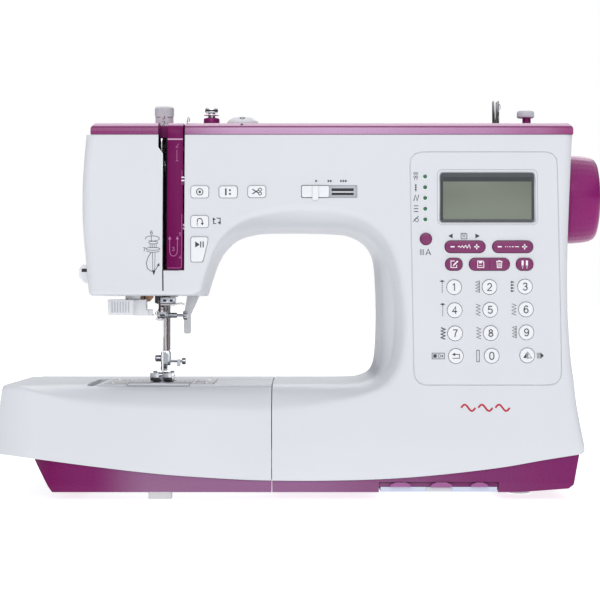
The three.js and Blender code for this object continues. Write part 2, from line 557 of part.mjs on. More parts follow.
for (const [name, s] of Object.entries(pieces)) {
  const mesh = new THREE.Mesh(geometry(s), lookOf(name));
  mesh.name = name;
  machine.add(mesh);
}
export default machine;
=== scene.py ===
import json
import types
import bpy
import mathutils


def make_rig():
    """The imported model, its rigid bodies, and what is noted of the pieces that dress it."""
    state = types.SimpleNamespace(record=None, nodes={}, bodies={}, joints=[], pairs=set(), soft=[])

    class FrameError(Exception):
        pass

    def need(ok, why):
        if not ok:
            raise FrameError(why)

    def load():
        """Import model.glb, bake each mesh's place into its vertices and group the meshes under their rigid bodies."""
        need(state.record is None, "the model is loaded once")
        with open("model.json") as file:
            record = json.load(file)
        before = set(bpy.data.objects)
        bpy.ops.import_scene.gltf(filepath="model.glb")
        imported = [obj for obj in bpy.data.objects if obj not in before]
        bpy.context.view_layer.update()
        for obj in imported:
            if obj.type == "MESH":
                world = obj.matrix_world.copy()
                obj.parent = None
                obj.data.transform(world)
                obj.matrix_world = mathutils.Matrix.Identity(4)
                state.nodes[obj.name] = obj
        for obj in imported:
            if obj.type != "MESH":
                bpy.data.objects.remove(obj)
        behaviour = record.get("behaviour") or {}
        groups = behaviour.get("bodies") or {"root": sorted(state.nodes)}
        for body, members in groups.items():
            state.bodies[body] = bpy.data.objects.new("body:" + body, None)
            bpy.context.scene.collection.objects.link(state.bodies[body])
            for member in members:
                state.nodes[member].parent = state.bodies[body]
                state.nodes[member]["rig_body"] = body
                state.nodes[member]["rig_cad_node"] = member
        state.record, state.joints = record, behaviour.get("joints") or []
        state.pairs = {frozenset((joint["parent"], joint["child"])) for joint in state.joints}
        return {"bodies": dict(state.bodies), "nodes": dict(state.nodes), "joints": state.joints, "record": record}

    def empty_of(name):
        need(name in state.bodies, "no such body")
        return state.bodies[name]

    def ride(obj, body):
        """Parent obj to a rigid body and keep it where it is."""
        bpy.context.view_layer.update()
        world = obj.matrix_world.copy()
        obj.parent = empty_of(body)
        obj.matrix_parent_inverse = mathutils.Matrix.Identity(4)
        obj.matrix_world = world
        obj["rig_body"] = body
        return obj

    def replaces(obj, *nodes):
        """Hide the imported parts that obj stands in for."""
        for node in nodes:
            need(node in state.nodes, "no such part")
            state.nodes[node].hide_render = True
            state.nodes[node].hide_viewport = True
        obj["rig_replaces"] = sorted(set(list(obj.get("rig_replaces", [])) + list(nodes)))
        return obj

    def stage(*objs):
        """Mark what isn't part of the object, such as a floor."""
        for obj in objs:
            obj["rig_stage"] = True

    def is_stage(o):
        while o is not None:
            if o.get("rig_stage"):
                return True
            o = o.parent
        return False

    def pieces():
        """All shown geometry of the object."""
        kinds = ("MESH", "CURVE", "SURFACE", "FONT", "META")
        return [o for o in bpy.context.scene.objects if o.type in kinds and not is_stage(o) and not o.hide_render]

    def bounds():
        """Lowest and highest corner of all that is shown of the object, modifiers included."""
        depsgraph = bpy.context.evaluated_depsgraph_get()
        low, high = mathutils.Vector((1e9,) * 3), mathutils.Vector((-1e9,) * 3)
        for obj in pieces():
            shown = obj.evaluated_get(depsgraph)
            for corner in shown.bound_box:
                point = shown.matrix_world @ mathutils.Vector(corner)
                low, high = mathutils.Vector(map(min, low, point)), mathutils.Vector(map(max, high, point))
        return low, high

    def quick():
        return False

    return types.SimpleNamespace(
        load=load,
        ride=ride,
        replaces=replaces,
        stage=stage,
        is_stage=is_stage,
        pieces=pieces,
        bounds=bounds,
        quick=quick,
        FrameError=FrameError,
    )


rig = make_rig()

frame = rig.load()
CAD_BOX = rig.bounds()

import json
import math
import bpy
import bmesh
import numpy as np
from mathutils import Vector, Matrix

MM = 0.001
scene = bpy.context.scene

# ---------------------------------------------------------------- camera
cam_data = bpy.data.cameras.new("camera")
cam = bpy.data.objects.new("camera", cam_data)
scene.collection.objects.link(cam)
cam.location = (-0.0017, -1.398, 0.1406)
cam.rotation_euler = (math.radians(90), 0, 0)
cam_data.sensor_width = 36
cam_data.lens = 36 * 1300 / 420
cam_data.clip_end = 50
scene.camera = cam

# ---------------------------------------------------------------- shape data, mm
BED_Z, HEAD_Z, BODY_TOP_Z, TOP_Z, BOTTOM_Z = 80.5, 144, 257.4, 266.4, 4.8
REAR_Y, BED_REAR_Y, SPLIT_Y, SEAM_X = 50, 98, -18, -21.6
FRONT = [(-93, 8), (-96, 22), (-97.7, 36), (-98, 48), (-97.5, 75), (-96.4, 110), (-94.5, 150), (-92, 190),
         (-89, 230), (-86.5, BODY_TOP_Z)]
ARC = [(-206.8, 31.4), (-191.3, 29.8), (-145, 23.6), (-98.1, 18.2), (-51.1, 14.9), (SEAM_X, 13.8), (15.8, 13.7),
       (55.4, 14.8), (92, 17.5), (137.6, 22.9), (168, 28.2), (195.2, 32.6)]
INNER = [(-72.9, 143.8), (-69.7, 154.7), (-64.3, 169.7), (-57.9, 179.4), (-48.5, 187.2), (-33, 191.4), (-14.2, 192.1),
         (5, 192), (24, 191.4), (36, 189.8), (47.5, 183.4), (54.4, 171.9), (56.6, 150), (57, 125), (56, 101),
         (53, 88.5), (45, 83), (31.8, 80.9), (0.7, 80.6), (SEAM_X, 80.6), (-51.1, 80.6), (-104.9, 80.6),
         (-145.2, 80.6), (-172, 80.6), (-200.4, 80.6)]
CREASE = [(-71.1, 146.6), (-65.8, 163.9), (-59.1, 180.3), (-49.4, 191.9), (-36.9, 199.1), (-22.5, 202.9), (-8, 205.3),
          (6.4, 205.5), (25.7, 204.4), (44.9, 197.6), (59.4, 185.1), (67.1, 165.9), (70.9, 145.7), (72.4, 121.6),
          (69, 96.5), (59.4, 81.1), (46.3, 75.3), (31.1, 70.7), (0.7, 65.4), (SEAM_X, 63.2), (-51.1, 62.9),
          (-104.9, 64.5), (-145.2, 67.9), (-172, 72.6), (-200.4, 80.5)]
MIDDLE = [(-71.6, 145), (-67, 160), (-61, 176), (-53, 185.2), (-42, 191.6), (-27.5, 194.7), (-13, 195.7), (6.5, 195.2),
          (25.9, 194.2), (40, 190.6), (51, 182), (59.5, 168.5), (64, 147), (65, 122), (62.5, 100), (56, 87.5),
          (45.5, 80.6), (31, 78.4), (0.7, 76.8), (SEAM_X, 76.4), (-51.1, 76.2), (-104.9, 76.7), (-145.2, 77.6),
          (-172, 78.8), (-200.4, 80.55)]
RIGHT = [(191.4, BODY_TOP_Z), (190.3, 242.5), (187.2, 180.9), (186.6, 139.2), (188.5, 102.5), (190.9, 83.8),
         (192.5, 68.8), (195, 54.3), (198.5, 36.1), (197.5, 33.5)]
HEAD_LEFT = [(-150.3, HEAD_Z), (-153.1, 172.4), (-155.2, 197.2), (-155.2, 226.9), (-153.1, BODY_TOP_Z)]
AIR = [(-236, 82), (-236, 143.7), (-78, 143.7)]
CAVITY = [(-146.3, 147.5), (-76, 147.5), (-70, 166), (-63, 183), (-52, 196), (-38, 203), (-8, 209), (26, 208.5),
          (47, 201.5), (63, 188), (71, 167), (75, 146), (76.5, 121), (73, 94), (62, 76.5), (47, 70.5), (31, 66),
          (0, 60.5), (-17.6, 59), (-17.6, 5), (191.5, 5), (193.5, 37), (188.5, 68), (184.5, 102), (182.6, 139),
          (183, 181), (186, 242), (187, 262), (-149.5, 262), (-151.2, 227), (-151.2, 197), (-149, 172)]


# ---------------------------------------------------------------- curves
def smooth(pts, n=6):
    """Catmull-Rom curve through open points."""
    p = np.array(pts, float)
    q = np.vstack([2 * p[0] - p[1], p, 2 * p[-1] - p[-2]])
    out = []
    for i in range(1, len(q) - 2):
        a, b, c, d = q[i - 1], q[i], q[i + 1], q[i + 2]
        for s in range(n):
            t = s / n
            out.append(0.5 * ((2 * b) + (-a + c) * t + (2 * a - 5 * b + 4 * c - d) * t ** 2
                              + (-a + 3 * b - 3 * c + d) * t ** 3))
    out.append(p[-1])
    return np.array(out)


_fr = smooth(FRONT, 8)
_fr = _fr[np.argsort(_fr[:, 1])]


def face_y(z):
    return np.interp(z, _fr[:, 1], _fr[:, 0])


def round_rect(x0, z0, x1, z1, r, n=6):
    out = []
    for cx, cz, a0 in ((x1 - r, z1 - r, 0), (x0 + r, z1 - r, 90), (x0 + r, z0 + r, 180), (x1 - r, z0 + r, 270)):
        for i in range(n + 1):
            a = math.radians(a0 + 90 * i / n)
            out.append((cx + r * math.cos(a), cz + r * math.sin(a)))
    return out


def fillet(pts, r, n=5):
    """Closed outline with each corner rounded."""
    out = []
    m = len(pts)
    for i in range(m):
        p = Vector(pts[i]); a = Vector(pts[i - 1]) - p; b = Vector(pts[(i + 1) % m]) - p
        la, lb = a.length, b.length
        a.normalize(); b.normalize()
        ang = a.angle(b)
        if ang > math.radians(172):
            out.append(tuple(p)); continue
        d = min(r / math.tan(ang / 2), la * 0.48, lb * 0.48)
        s, e = p + a * d, p + b * d
        for k in range(n + 1):
            t = k / n
            out.append(tuple((1 - t) ** 2 * s + 2 * t * (1 - t) * p + t * t * e))
    return out


# ---------------------------------------------------------------- meshes
def to_mesh(name, verts, faces, mm=True):
    me = bpy.data.meshes.new(name)
    v = np.array(verts, float) * (MM if mm else 1)
    me.from_pydata(v.tolist(), [], [list(f) for f in faces])
    me.validate()
    bm = bmesh.new(); bm.from_mesh(me)
    bmesh.ops.remove_doubles(bm, verts=bm.verts, dist=1e-7)
    bmesh.ops.recalc_face_normals(bm, faces=bm.faces)
    bm.to_mesh(me); bm.free()
    return me


def add(name, me, mat=None, body="root", angle=35):
    ob = bpy.data.objects.new(name, me)
    scene.collection.objects.link(ob)
    if mat is not None:
        me.materials.clear(); me.materials.append(mat)
    shade(me, angle)
    if body:
        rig.ride(ob, body)
    return ob


def shade(me, angle=35):
    if len(me.polygons):
        me.polygons.foreach_set("use_smooth", [True] * len(me.polygons))
        me.set_sharp_from_angle(angle=math.radians(angle))
    me.update()


def prism(name, pts, a0, a1, axis="y"):
    """Outline extruded along an axis; pts are (x, z) for y, (y, z) for x, (x, y) for z."""
    n = len(pts)
    put = {"y": lambda u, v, w: (u, w, v), "x": lambda u, v, w: (w, u, v), "z": lambda u, v, w: (u, v, w)}[axis]
    v = [put(p[0], p[1], a0) for p in pts] + [put(p[0], p[1], a1) for p in pts]
    f = [list(range(n)), list(range(n, 2 * n))[::-1]] + [[i, (i + 1) % n, n + (i + 1) % n, n + i] for i in range(n)]
    me = bpy.data.meshes.new(name)
    me.from_pydata((np.array(v) * MM).tolist(), [], f)
    bm = bmesh.new(); bm.from_mesh(me)
    bmesh.ops.recalc_face_normals(bm, faces=bm.faces)
    bmesh.ops.triangulate(bm, faces=[q for q in bm.faces if len(q.verts) > 4])
    bm.to_mesh(me); bm.free()
    return me


def box_me(x0, x1, y0, y1, z0, z1):
    return prism("box", [(x0, z0), (x1, z0), (x1, z1), (x0, z1)], y0, y1)


def join(name, meshes):
    bm = bmesh.new()
    for me in meshes:
        bm.from_mesh(me)
    out = bpy.data.meshes.new(name)
    bm.to_mesh(out); bm.free()
    for me in meshes:
        bpy.data.meshes.remove(me)
    return out


def boolean(me, others, op="DIFFERENCE"):
    """Mesh boolean with each of the other meshes in turn."""
    ob = bpy.data.objects.new("tmp_a", me)
    scene.collection.objects.link(ob)
    for other in others:
        tool = bpy.data.objects.new("tmp_b", other)
        scene.collection.objects.link(tool)
        mod = ob.modifiers.new("b", "BOOLEAN")
        mod.operation = op
        mod.object = tool
        try:
            mod.solver = "MANIFOLD"
        except TypeError:
            mod.solver = "EXACT"
        dg = bpy.context.evaluated_depsgraph_get()
        res = bpy.data.meshes.new_from_object(ob.evaluated_get(dg))
        if not len(res.polygons):
            mod.solver = "EXACT"
            dg = bpy.context.evaluated_depsgraph_get()
            res = bpy.data.meshes.new_from_object(ob.evaluated_get(dg))
        ob.modifiers.clear()
        old = ob.data
        ob.data = res
        bpy.data.meshes.remove(old)
        bpy.data.objects.remove(tool)
        bpy.data.meshes.remove(other)
    me = ob.data
    bpy.data.objects.remove(ob)
    return me


def bevel_obj(ob, width, segments=3, angle=30):
    m = ob.modifiers.new("bevel", "BEVEL")
    m.width = width * MM
    m.segments = segments
    m.limit_method = "ANGLE"
    m.angle_limit = math.radians(angle)
    m.use_clamp_overlap = True
    m.harden_normals = False
    return ob


def rbox(x0, x1, y0, y1, z0, z1, r=0.5, seg=2):
    """Box with all edges rounded."""
    bm = bmesh.new()
    bmesh.ops.create_cube(bm, size=1)
    for v in bm.verts:
        v.co = Vector(((x0 + x1) / 2 + v.co.x * (x1 - x0), (y0 + y1) / 2 + v.co.y * (y1 - y0),
                       (z0 + z1) / 2 + v.co.z * (z1 - z0))) * MM
    if r > 0:
        bmesh.ops.bevel(bm, geom=bm.edges[:], offset=r * MM, segments=seg, profile=0.5, affect="EDGES")
    me = bpy.data.meshes.new("rbox")
    bm.to_mesh(me); bm.free()
    return me


def rprism(pts, a0, a1, axis="y", r=0.4, seg=2, both=True):
    """Extruded outline with rounded rims."""
    me = prism("rp", pts, a0, a1, axis)
    k = {"y": 1, "x": 0, "z": 2}[axis]
    bm = bmesh.new(); bm.from_mesh(me)
    bmesh.ops.dissolve_limit(bm, angle_limit=0.0005, verts=bm.verts, edges=bm.edges)
    lo, hi = min(a0, a1) * MM, max(a0, a1) * MM
    es = [e for e in bm.edges if abs(e.verts[0].co[k] - e.verts[1].co[k]) < 1e-7
          and (both or abs(e.verts[0].co[k] - lo) < 1e-6)]
    bmesh.ops.bevel(bm, geom=es, offset=r * MM, segments=seg, profile=0.5, affect="EDGES", clamp_overlap=True)
    bm.to_mesh(me); bm.free()
    return me


def lathe(prof, center, axis="z", n=48):
    """Profile of (radius, height) pairs turned about an axis through center."""
    v, f = [], []
    m = len(prof)
    for i in range(n):
        a = 2 * math.pi * i / n
        for r, h in prof:
            c, s = r * math.cos(a), r * math.sin(a)
            v.append({"z": (c, s, h), "x": (h, c, s), "y": (c, h, s)}[axis])
    for i in range(n):
        j = (i + 1) % n
        for k in range(m - 1):
            f.append([i * m + k, j * m + k, j * m + k + 1, i * m + k + 1])
    v = np.array(v) + np.array(center, float)
    return to_mesh("lathe", v, f)


def cyl(p, q, r, n=24, r2=None, bevel=0.0):
    """Cylinder or cone from p to q."""
    p, q = Vector(p), Vector(q)
    d = q - p
    rot = d.to_track_quat("Z", "Y").to_matrix()
    L = d.length
    r2 = r if r2 is None else r2
    b = bevel
    prof = [(0, 0), (r - b, 0)] + ([(r - b * 0.3, b * 0.3), (r, b)] if b else []) + \
           ([(r2, L - b), (r2 - b * 0.3, L - b * 0.3)] if b else []) + [(r2 - b, L), (0, L)]
    me = lathe(prof, (0, 0, 0), "z", n)
    me.transform(Matrix.Translation(p * MM) @ rot.to_4x4())
    return me


def tube(pts, r, n=10, caps=True):
    """Round tube along points, mm."""
    P = [Vector(p) for p in pts]
    v, f = [], []
    up = Vector((0.0123, 0.213, 0.97)).normalized()
    for i, p in enumerate(P):
        t = (P[min(i + 1, len(P) - 1)] - P[max(i - 1, 0)]).normalized()
        if abs(t.dot(up)) > 0.95:
            up2 = Vector((1, 0.1, 0)).normalized()
        else:
            up2 = up
        a = t.cross(up2).normalized(); b = t.cross(a).normalized()
        if i and (a.dot(prev) < 0):
            a, b = -a, -b
        prev = a
        for k in range(n):
            w = 2 * math.pi * k / n
            v.append(tuple(p + (a * math.cos(w) + b * math.sin(w)) * r))
    for i in range(len(P) - 1):
        for k in range(n):
            f.append([i * n + k, i * n + (k + 1) % n, (i + 1) * n + (k + 1) % n, (i + 1) * n + k])
    if caps:
        f.append(list(range(n))[::-1]); f.append([(len(P) - 1) * n + k for k in range(n)])
    return to_mesh("tube", v, f)


# ---------------------------------------------------------------- distance fields
class Field2:
    """Signed distance to a closed outline (negative inside), sampled on a grid."""

    def __init__(self, poly, lo, hi, h=1.0):
        p = np.array(poly, float)
        self.lo, self.h = np.array(lo, float), h
        self.n = [int((hi[i] - lo[i]) / h) + 2 for i in (0, 1)]
        u = lo[0] + h * np.arange(self.n[0])[:, None]
        v = lo[1] + h * np.arange(self.n[1])[None, :]
        best = np.full((self.n[0], self.n[1]), 1e9)
        inside = np.zeros((self.n[0], self.n[1]), bool)
        q = np.roll(p, -1, axis=0)
        for (ax, ay), (bx, by) in zip(p, q):
            ex, ey = bx - ax, by - ay
            ll = ex * ex + ey * ey
            if ll < 1e-12:
                continue
            t = np.clip(((u - ax) * ex + (v - ay) * ey) / ll, 0, 1)
            best = np.minimum(best, (u - ax - t * ex) ** 2 + (v - ay - t * ey) ** 2)
            if ay != by:
                c = ((ay > v) != (by > v)) & (u < (bx - ax) * (v - ay) / (by - ay) + ax)
                inside ^= c
        self.d = np.where(inside, -1, 1) * np.sqrt(best)

    def __call__(self, u, v):
        a = np.clip((u - self.lo[0]) / self.h, 0, self.n[0] - 1.001)
        b = np.clip((v - self.lo[1]) / self.h, 0, self.n[1] - 1.001)
        i, j = a.astype(int), b.astype(int)
        a, b = a - i, b - j
        d = self.d
        return (d[i, j] * (1 - a) * (1 - b) + d[i + 1, j] * a * (1 - b) + d[i, j + 1] * (1 - a) * b
                + d[i + 1, j + 1] * a * b)


def rmax(a, b, r):
    """Intersection of two fields with a round edge."""
    return np.minimum(-r, np.maximum(a, b)) + np.hypot(np.maximum(r + a, 0), np.maximum(r + b, 0))


def plan_field(x, y, x0, x1, y0, y1, r):
    """Rounded rectangle in plan."""
    dx = np.abs(x - (x0 + x1) / 2) - (x1 - x0) / 2 + r
    dy = np.abs(y - (y0 + y1) / 2) - (y1 - y0) / 2 + r
    return np.hypot(np.maximum(dx, 0), np.maximum(dy, 0)) + np.minimum(np.maximum(dx, dy), 0) - r


def nets(name, f, lo, hi, h):
    """Closed mesh of the zero level of f(x, y, z), mm."""
    lo = np.array(lo, float)
    n = [int((hi[i] - lo[i]) / h) + 2 for i in range(3)]
    ax = [lo[i] + h * np.arange(n[i]) for i in range(3)]
    F = np.empty(n)
    Y, Z = np.meshgrid(ax[1], ax[2], indexing="ij")
    for i, x in enumerate(ax[0]):
        F[i] = f(np.full_like(Y, x), Y, Z)
    S = F < 0
    cnt = sum(S[a:n[0] - 1 + a, b:n[1] - 1 + b, c:n[2] - 1 + c].astype(np.int8)
              for a in (0, 1) for b in (0, 1) for c in (0, 1))
    cell = (cnt > 0) & (cnt < 8)
    I = np.argwhere(cell)
    idx = np.full(cell.shape, -1)
    idx[cell] = np.arange(len(I))
    acc = np.zeros((len(I), 3)); num = np.zeros(len(I))
    for k in range(3):
        o1, o2 = [m for m in range(3) if m != k]
        for s1 in (0, 1):
            for s2 in (0, 1):
                a = I.copy(); a[:, o1] += s1; a[:, o2] += s2
                b = a.copy(); b[:, k] += 1
                va, vb = F[tuple(a.T)], F[tuple(b.T)]
                c = (va < 0) != (vb < 0)
                t = np.where(c, va / np.where(c, va - vb, 1), 0)
                p = a.astype(float); p[:, k] += t
                acc[c] += p[c]; num[c] += 1
    P = lo + h * acc / num[:, None]
    Q = []
    for k in range(3):
        o1, o2 = [(1, 2), (2, 0), (0, 1)][k]
        sl0 = [slice(None)] * 3; sl1 = [slice(None)] * 3
        sl0[k] = slice(0, n[k] - 1); sl1[k] = slice(1, n[k])
        A, B = S[tuple(sl0)], S[tuple(sl1)]
        E = np.argwhere(A != B)
        E = E[(E[:, o1] > 0) & (E[:, o2] > 0) & (E[:, o1] < n[o1] - 1) & (E[:, o2] < n[o2] - 1)]
        first = A[tuple(E.T)]
        c = []
        for d1, d2 in ((-1, -1), (0, -1), (0, 0), (-1, 0)):
            g = E.copy(); g[:, o1] += d1; g[:, o2] += d2
            c.append(idx[tuple(g.T)])
        q = np.array(c).T
        q[~first] = q[~first][:, ::-1]
        Q.append(q)
    Q = np.vstack(Q)
    Q = Q[(Q >= 0).all(axis=1)]
    e = 0.05
    for it in range(4):
        v = f(P[:, 0], P[:, 1], P[:, 2])
        g = np.stack([(f(P[:, 0] + e * (k == 0), P[:, 1] + e * (k == 1), P[:, 2] + e * (k == 2))
                       - f(P[:, 0] - e * (k == 0), P[:, 1] - e * (k == 1), P[:, 2] - e * (k == 2))) / (2 * e)
                      for k in range(3)], axis=1)
        g2 = np.maximum((g * g).sum(axis=1), 0.25)
        step = np.clip(v / g2, -0.5 * h, 0.5 * h)
        P = P - step[:, None] * g
    me = bpy.data.meshes.new(name)
    me.vertices.add(len(P)); me.vertices.foreach_set("co", (P * MM).ravel())
    me.loops.add(len(Q) * 4); me.loops.foreach_set("vertex_index", Q.ravel().astype(np.int32))
    me.polygons.add(len(Q)); me.polygons.foreach_set("loop_start", (np.arange(len(Q)) * 4).astype(np.int32))
    me.update(calc_edges=True)
    me.validate()
    return me


# ---------------------------------------------------------------- materials
def _sock(node, names):
    for n in names:
        if n in node.inputs:
            return node.inputs[n]


def plastic(name, col, rough=0.4, var=0.03, grain=1200.0, bump=0.03, spec=0.5, coat=0.0, metal=0.0, scratch=0.0,
            emit=0.0):
    """Moulded plastic or metal: fine grain in bump, slight tone and roughness variation."""
    m = bpy.data.materials.new(name)
    m.use_nodes = True
    nt = m.node_tree
    b = nt.nodes["Principled BSDF"]
    L = nt.links.new
    tc = nt.nodes.new("ShaderNodeTexCoord")
    n1 = nt.nodes.new("ShaderNodeTexNoise"); n1.inputs["Scale"].default_value = 18; n1.inputs["Detail"].default_value = 3
    L(tc.outputs["Object"], n1.inputs["Vector"])
    cr = nt.nodes.new("ShaderNodeValToRGB")
    lo = [c * (1 - var) for c in col]; hi = [min(1, c * (1 + var)) for c in col]
    cr.color_ramp.elements[0].position = 0.3; cr.color_ramp.elements[1].position = 0.7
    cr.color_ramp.elements[0].color = (*lo, 1); cr.color_ramp.elements[1].color = (*hi, 1)
    L(n1.outputs["Fac"], cr.inputs["Fac"])
    L(cr.outputs["Color"], b.inputs["Base Color"])
    n2 = nt.nodes.new("ShaderNodeTexNoise"); n2.inputs["Scale"].default_value = grain; n2.inputs["Detail"].default_value = 2
    L(tc.outputs["Object"], n2.inputs["Vector"])
    if bump:
        bp = nt.nodes.new("ShaderNodeBump"); bp.inputs["Strength"].default_value = bump
        bp.inputs["Distance"].default_value = 0.0002
        L(n2.outputs["Fac"], bp.inputs["Height"])
        L(bp.outputs["Normal"], b.inputs["Normal"])
    mr = nt.nodes.new("ShaderNodeMapRange")
    mr.inputs["To Min"].default_value = max(0.02, rough - 0.04 - scratch)
    mr.inputs["To Max"].default_value = min(1, rough + 0.04 + scratch)
    L(n2.outputs["Fac"], mr.inputs["Value"])
    L(mr.outputs["Result"], b.inputs["Roughness"])
    b.inputs["Metallic"].default_value = metal
    _sock(b, ["Specular IOR Level", "Specular"]).default_value = spec
    if coat:
        _sock(b, ["Coat Weight"]).default_value = coat
        _sock(b, ["Coat Roughness"]).default_value = 0.15
    if emit:
        b.inputs["Emission Color"].default_value = (*col, 1)
        b.inputs["Emission Strength"].default_value = emit
    return m


def brushed(name, col, rough=0.3, axis=2):
    """Metal with fine lines along one direction."""
    m = plastic(name, col, rough, 0.05, 900, 0.0, 0.5, 0, 1.0)
    nt = m.node_tree
    b = nt.nodes["Principled BSDF"]
    tc = next(n for n in nt.nodes if n.type == "TEX_COORD")
    mp = nt.nodes.new("ShaderNodeMapping")
    sc = [1500.0, 1500.0, 1500.0]; sc[axis] = 40.0
    mp.inputs["Scale"].default_value = sc
    nt.links.new(tc.outputs["Object"], mp.inputs["Vector"])
    n = nt.nodes.new("ShaderNodeTexNoise"); n.inputs["Scale"].default_value = 1.0; n.inputs["Detail"].default_value = 2
    nt.links.new(mp.outputs["Vector"], n.inputs["Vector"])
    bp = nt.nodes.new("ShaderNodeBump"); bp.inputs["Strength"].default_value = 0.12; bp.inputs["Distance"].default_value = 0.0001
    nt.links.new(n.outputs["Fac"], bp.inputs["Height"])
    nt.links.new(bp.outputs["Normal"], b.inputs["Normal"])
    return m


M = {}
M["white"] = plastic("m_white", (0.628, 0.648, 0.684), 0.42, 0.012, 1600, 0.025, 0.45)
M["white_key"] = plastic("m_white_key", (0.74, 0.755, 0.785), 0.38, 0.012, 1400, 0.02, 0.45)
M["ivory"] = plastic("m_ivory", (0.70, 0.71, 0.73), 0.45, 0.02, 1200, 0.03, 0.4)
M["magenta"] = plastic("m_magenta", (0.205, 0.010, 0.120), 0.28, 0.04, 1300, 0.015, 0.5)
# darker copy of the magenta: painted shade on the thread slot cover and its sides, also the split line of the memory
# rocker
M["magenta_shade_and_joint"] = plastic("m_magenta_shade_and_joint", (0.120, 0.000, 0.062), 0.26, 0.04, 1300, 0.012, 0.35)

for k_ in ("magenta", "magenta_shade_and_joint"):
    M[k_].node_tree.nodes["Principled BSDF"].inputs["Specular Tint"].default_value = (1.0, 0.40, 0.72, 1)


def painted_reflection_metal(name, stops, rough=0.22, metal=0.75, axis="X"):
    """Polished metal with painted reflections: base colour bands follow the direction a face points in, broken up a
    little by noise.
    """
    m = plastic(name, (0.4, 0.4, 0.41), rough, 0.05, 900, 0.03, 0.5, 0, metal)
    nt = m.node_tree
    b = nt.nodes["Principled BSDF"]
    tc = next(q for q in nt.nodes if q.type == "TEX_COORD")
    sp = nt.nodes.new("ShaderNodeSeparateXYZ"); nt.links.new(tc.outputs["Normal"], sp.inputs[0])
    mr = nt.nodes.new("ShaderNodeMapRange")
    mr.inputs["From Min"].default_value = -1.0; mr.inputs["From Max"].default_value = 1.0
    nt.links.new(sp.outputs[axis], mr.inputs["Value"])
    no = nt.nodes.new("ShaderNodeTexNoise"); no.inputs["Scale"].default_value = 190.0
    nt.links.new(tc.outputs["Object"], no.inputs["Vector"])
    ad = nt.nodes.new("ShaderNodeMath"); ad.operation = "MULTIPLY_ADD"
    nt.links.new(no.outputs["Fac"], ad.inputs[0]); ad.inputs[1].default_value = 0.10
    su = nt.nodes.new("ShaderNodeMath"); su.operation = "SUBTRACT"
    nt.links.new(mr.outputs["Result"], ad.inputs[2]); nt.links.new(ad.outputs["Value"], su.inputs[0]); su.inputs[1].default_value = 0.05
    cr = nt.nodes.new("ShaderNodeValToRGB")
    for k, (pos, col) in enumerate(stops):
        e = cr.color_ramp.elements[0] if k == 0 else (cr.color_ramp.elements[-1] if k == len(stops) - 1 else cr.color_ramp.elements.new(pos))
        e.position = pos
        e.color = (*col, 1)
    nt.links.new(su.outputs["Value"], cr.inputs["Fac"])
    nt.links.new(cr.outputs["Color"], b.inputs["Base Color"])
    return m


# painted reflection bands on the bars, set by the sideways direction of each face
M["bar"] = painted_reflection_metal("m_bar", [(0.0, (0.10, 0.08, 0.075)), (0.14, (0.05, 0.035, 0.03)), (0.30, (0.42, 0.40, 0.40)), (0.46, (0.80, 0.79, 0.80)), (0.58, (0.16, 0.12, 0.11)),
                            (0.72, (0.10, 0.07, 0.06)), (0.84, (0.50, 0.48, 0.48)), (1.0, (0.14, 0.11, 0.10))])
# painted reflection bands on small polished parts, set by the up-down direction of each face
M["shiny"] = painted_reflection_metal("m_shiny", [(0.0, (0.05, 0.05, 0.06)), (0.22, (0.30, 0.31, 0.34)), (0.40, (0.06, 0.06, 0.075)), (0.48, (0.55, 0.57, 0.62)), (0.60, (0.86, 0.88, 0.92)),
                                (0.74, (0.10, 0.10, 0.12)), (0.90, (0.60, 0.62, 0.66)), (1.0, (0.20, 0.20, 0.22))], 0.2, 0.7, "Z")


def sheen_ramp_x(name, stops, rough=0.28, spec=0.5):
    """Coloured plastic with a painted sheen: base colour shifts along X to stand in for the broad reflection on the
    glossy surface.
    """
    m = plastic(name, (0.3, 0.1, 0.2), rough, 0.03, 1300, 0.012, spec)
    nt = m.node_tree
    b = nt.nodes["Principled BSDF"]
    tc = next(q for q in nt.nodes if q.type == "TEX_COORD")
    sp = nt.nodes.new("ShaderNodeSeparateXYZ"); nt.links.new(tc.outputs["Object"], sp.inputs[0])
    mr = nt.nodes.new("ShaderNodeMapRange")
    mr.inputs["From Min"].default_value = -0.2; mr.inputs["From Max"].default_value = 0.2
    nt.links.new(sp.outputs["X"], mr.inputs["Value"])
    cr = nt.nodes.new("ShaderNodeValToRGB")
    cr.color_ramp.interpolation = "EASE"
    for k, (x, col) in enumerate(stops):
        pos = (x + 200) / 400
        e = cr.color_ramp.elements[0] if k == 0 else (cr.color_ramp.elements[-1] if k == len(stops) - 1 else cr.color_ramp.elements.new(pos))
        e.position = pos
        e.color = (*col, 1)
    nt.links.new(mr.outputs["Result"], cr.inputs["Fac"])
    nt.links.new(cr.outputs["Color"], b.inputs["Base Color"])
    return m


# painted sheen on the base: lilac-grey in the middle, deep magenta towards the ends
M["base"] = sheen_ramp_x("m_base", [(-190, (0.130, 0.001, 0.066)), (-150, (0.150, 0.012, 0.092)), (-105, (0.24, 0.118, 0.22)), (-10, (0.235, 0.112, 0.22)),
                              (60, (0.195, 0.075, 0.165)), (130, (0.160, 0.028, 0.112)), (190, (0.155, 0.015, 0.098))])
# painted sheen on the top band: lightest in the middle
M["band"] = sheen_ramp_x("m_band", [(-150, (0.20, 0.004, 0.11)), (-110, (0.20, 0.02, 0.13)), (-40, (0.45, 0.25, 0.42)), (20, (0.47, 0.27, 0.45)),
                              (120, (0.39, 0.18, 0.35)), (165, (0.32, 0.10, 0.25)), (190, (0.24, 0.02, 0.14))])
M["base"].node_tree.nodes["Principled BSDF"].inputs["Specular Tint"].default_value = (1.0, 0.30, 0.70, 1)
M["base"].node_tree.nodes["Principled BSDF"].inputs["Specular IOR Level"].default_value = 0.35
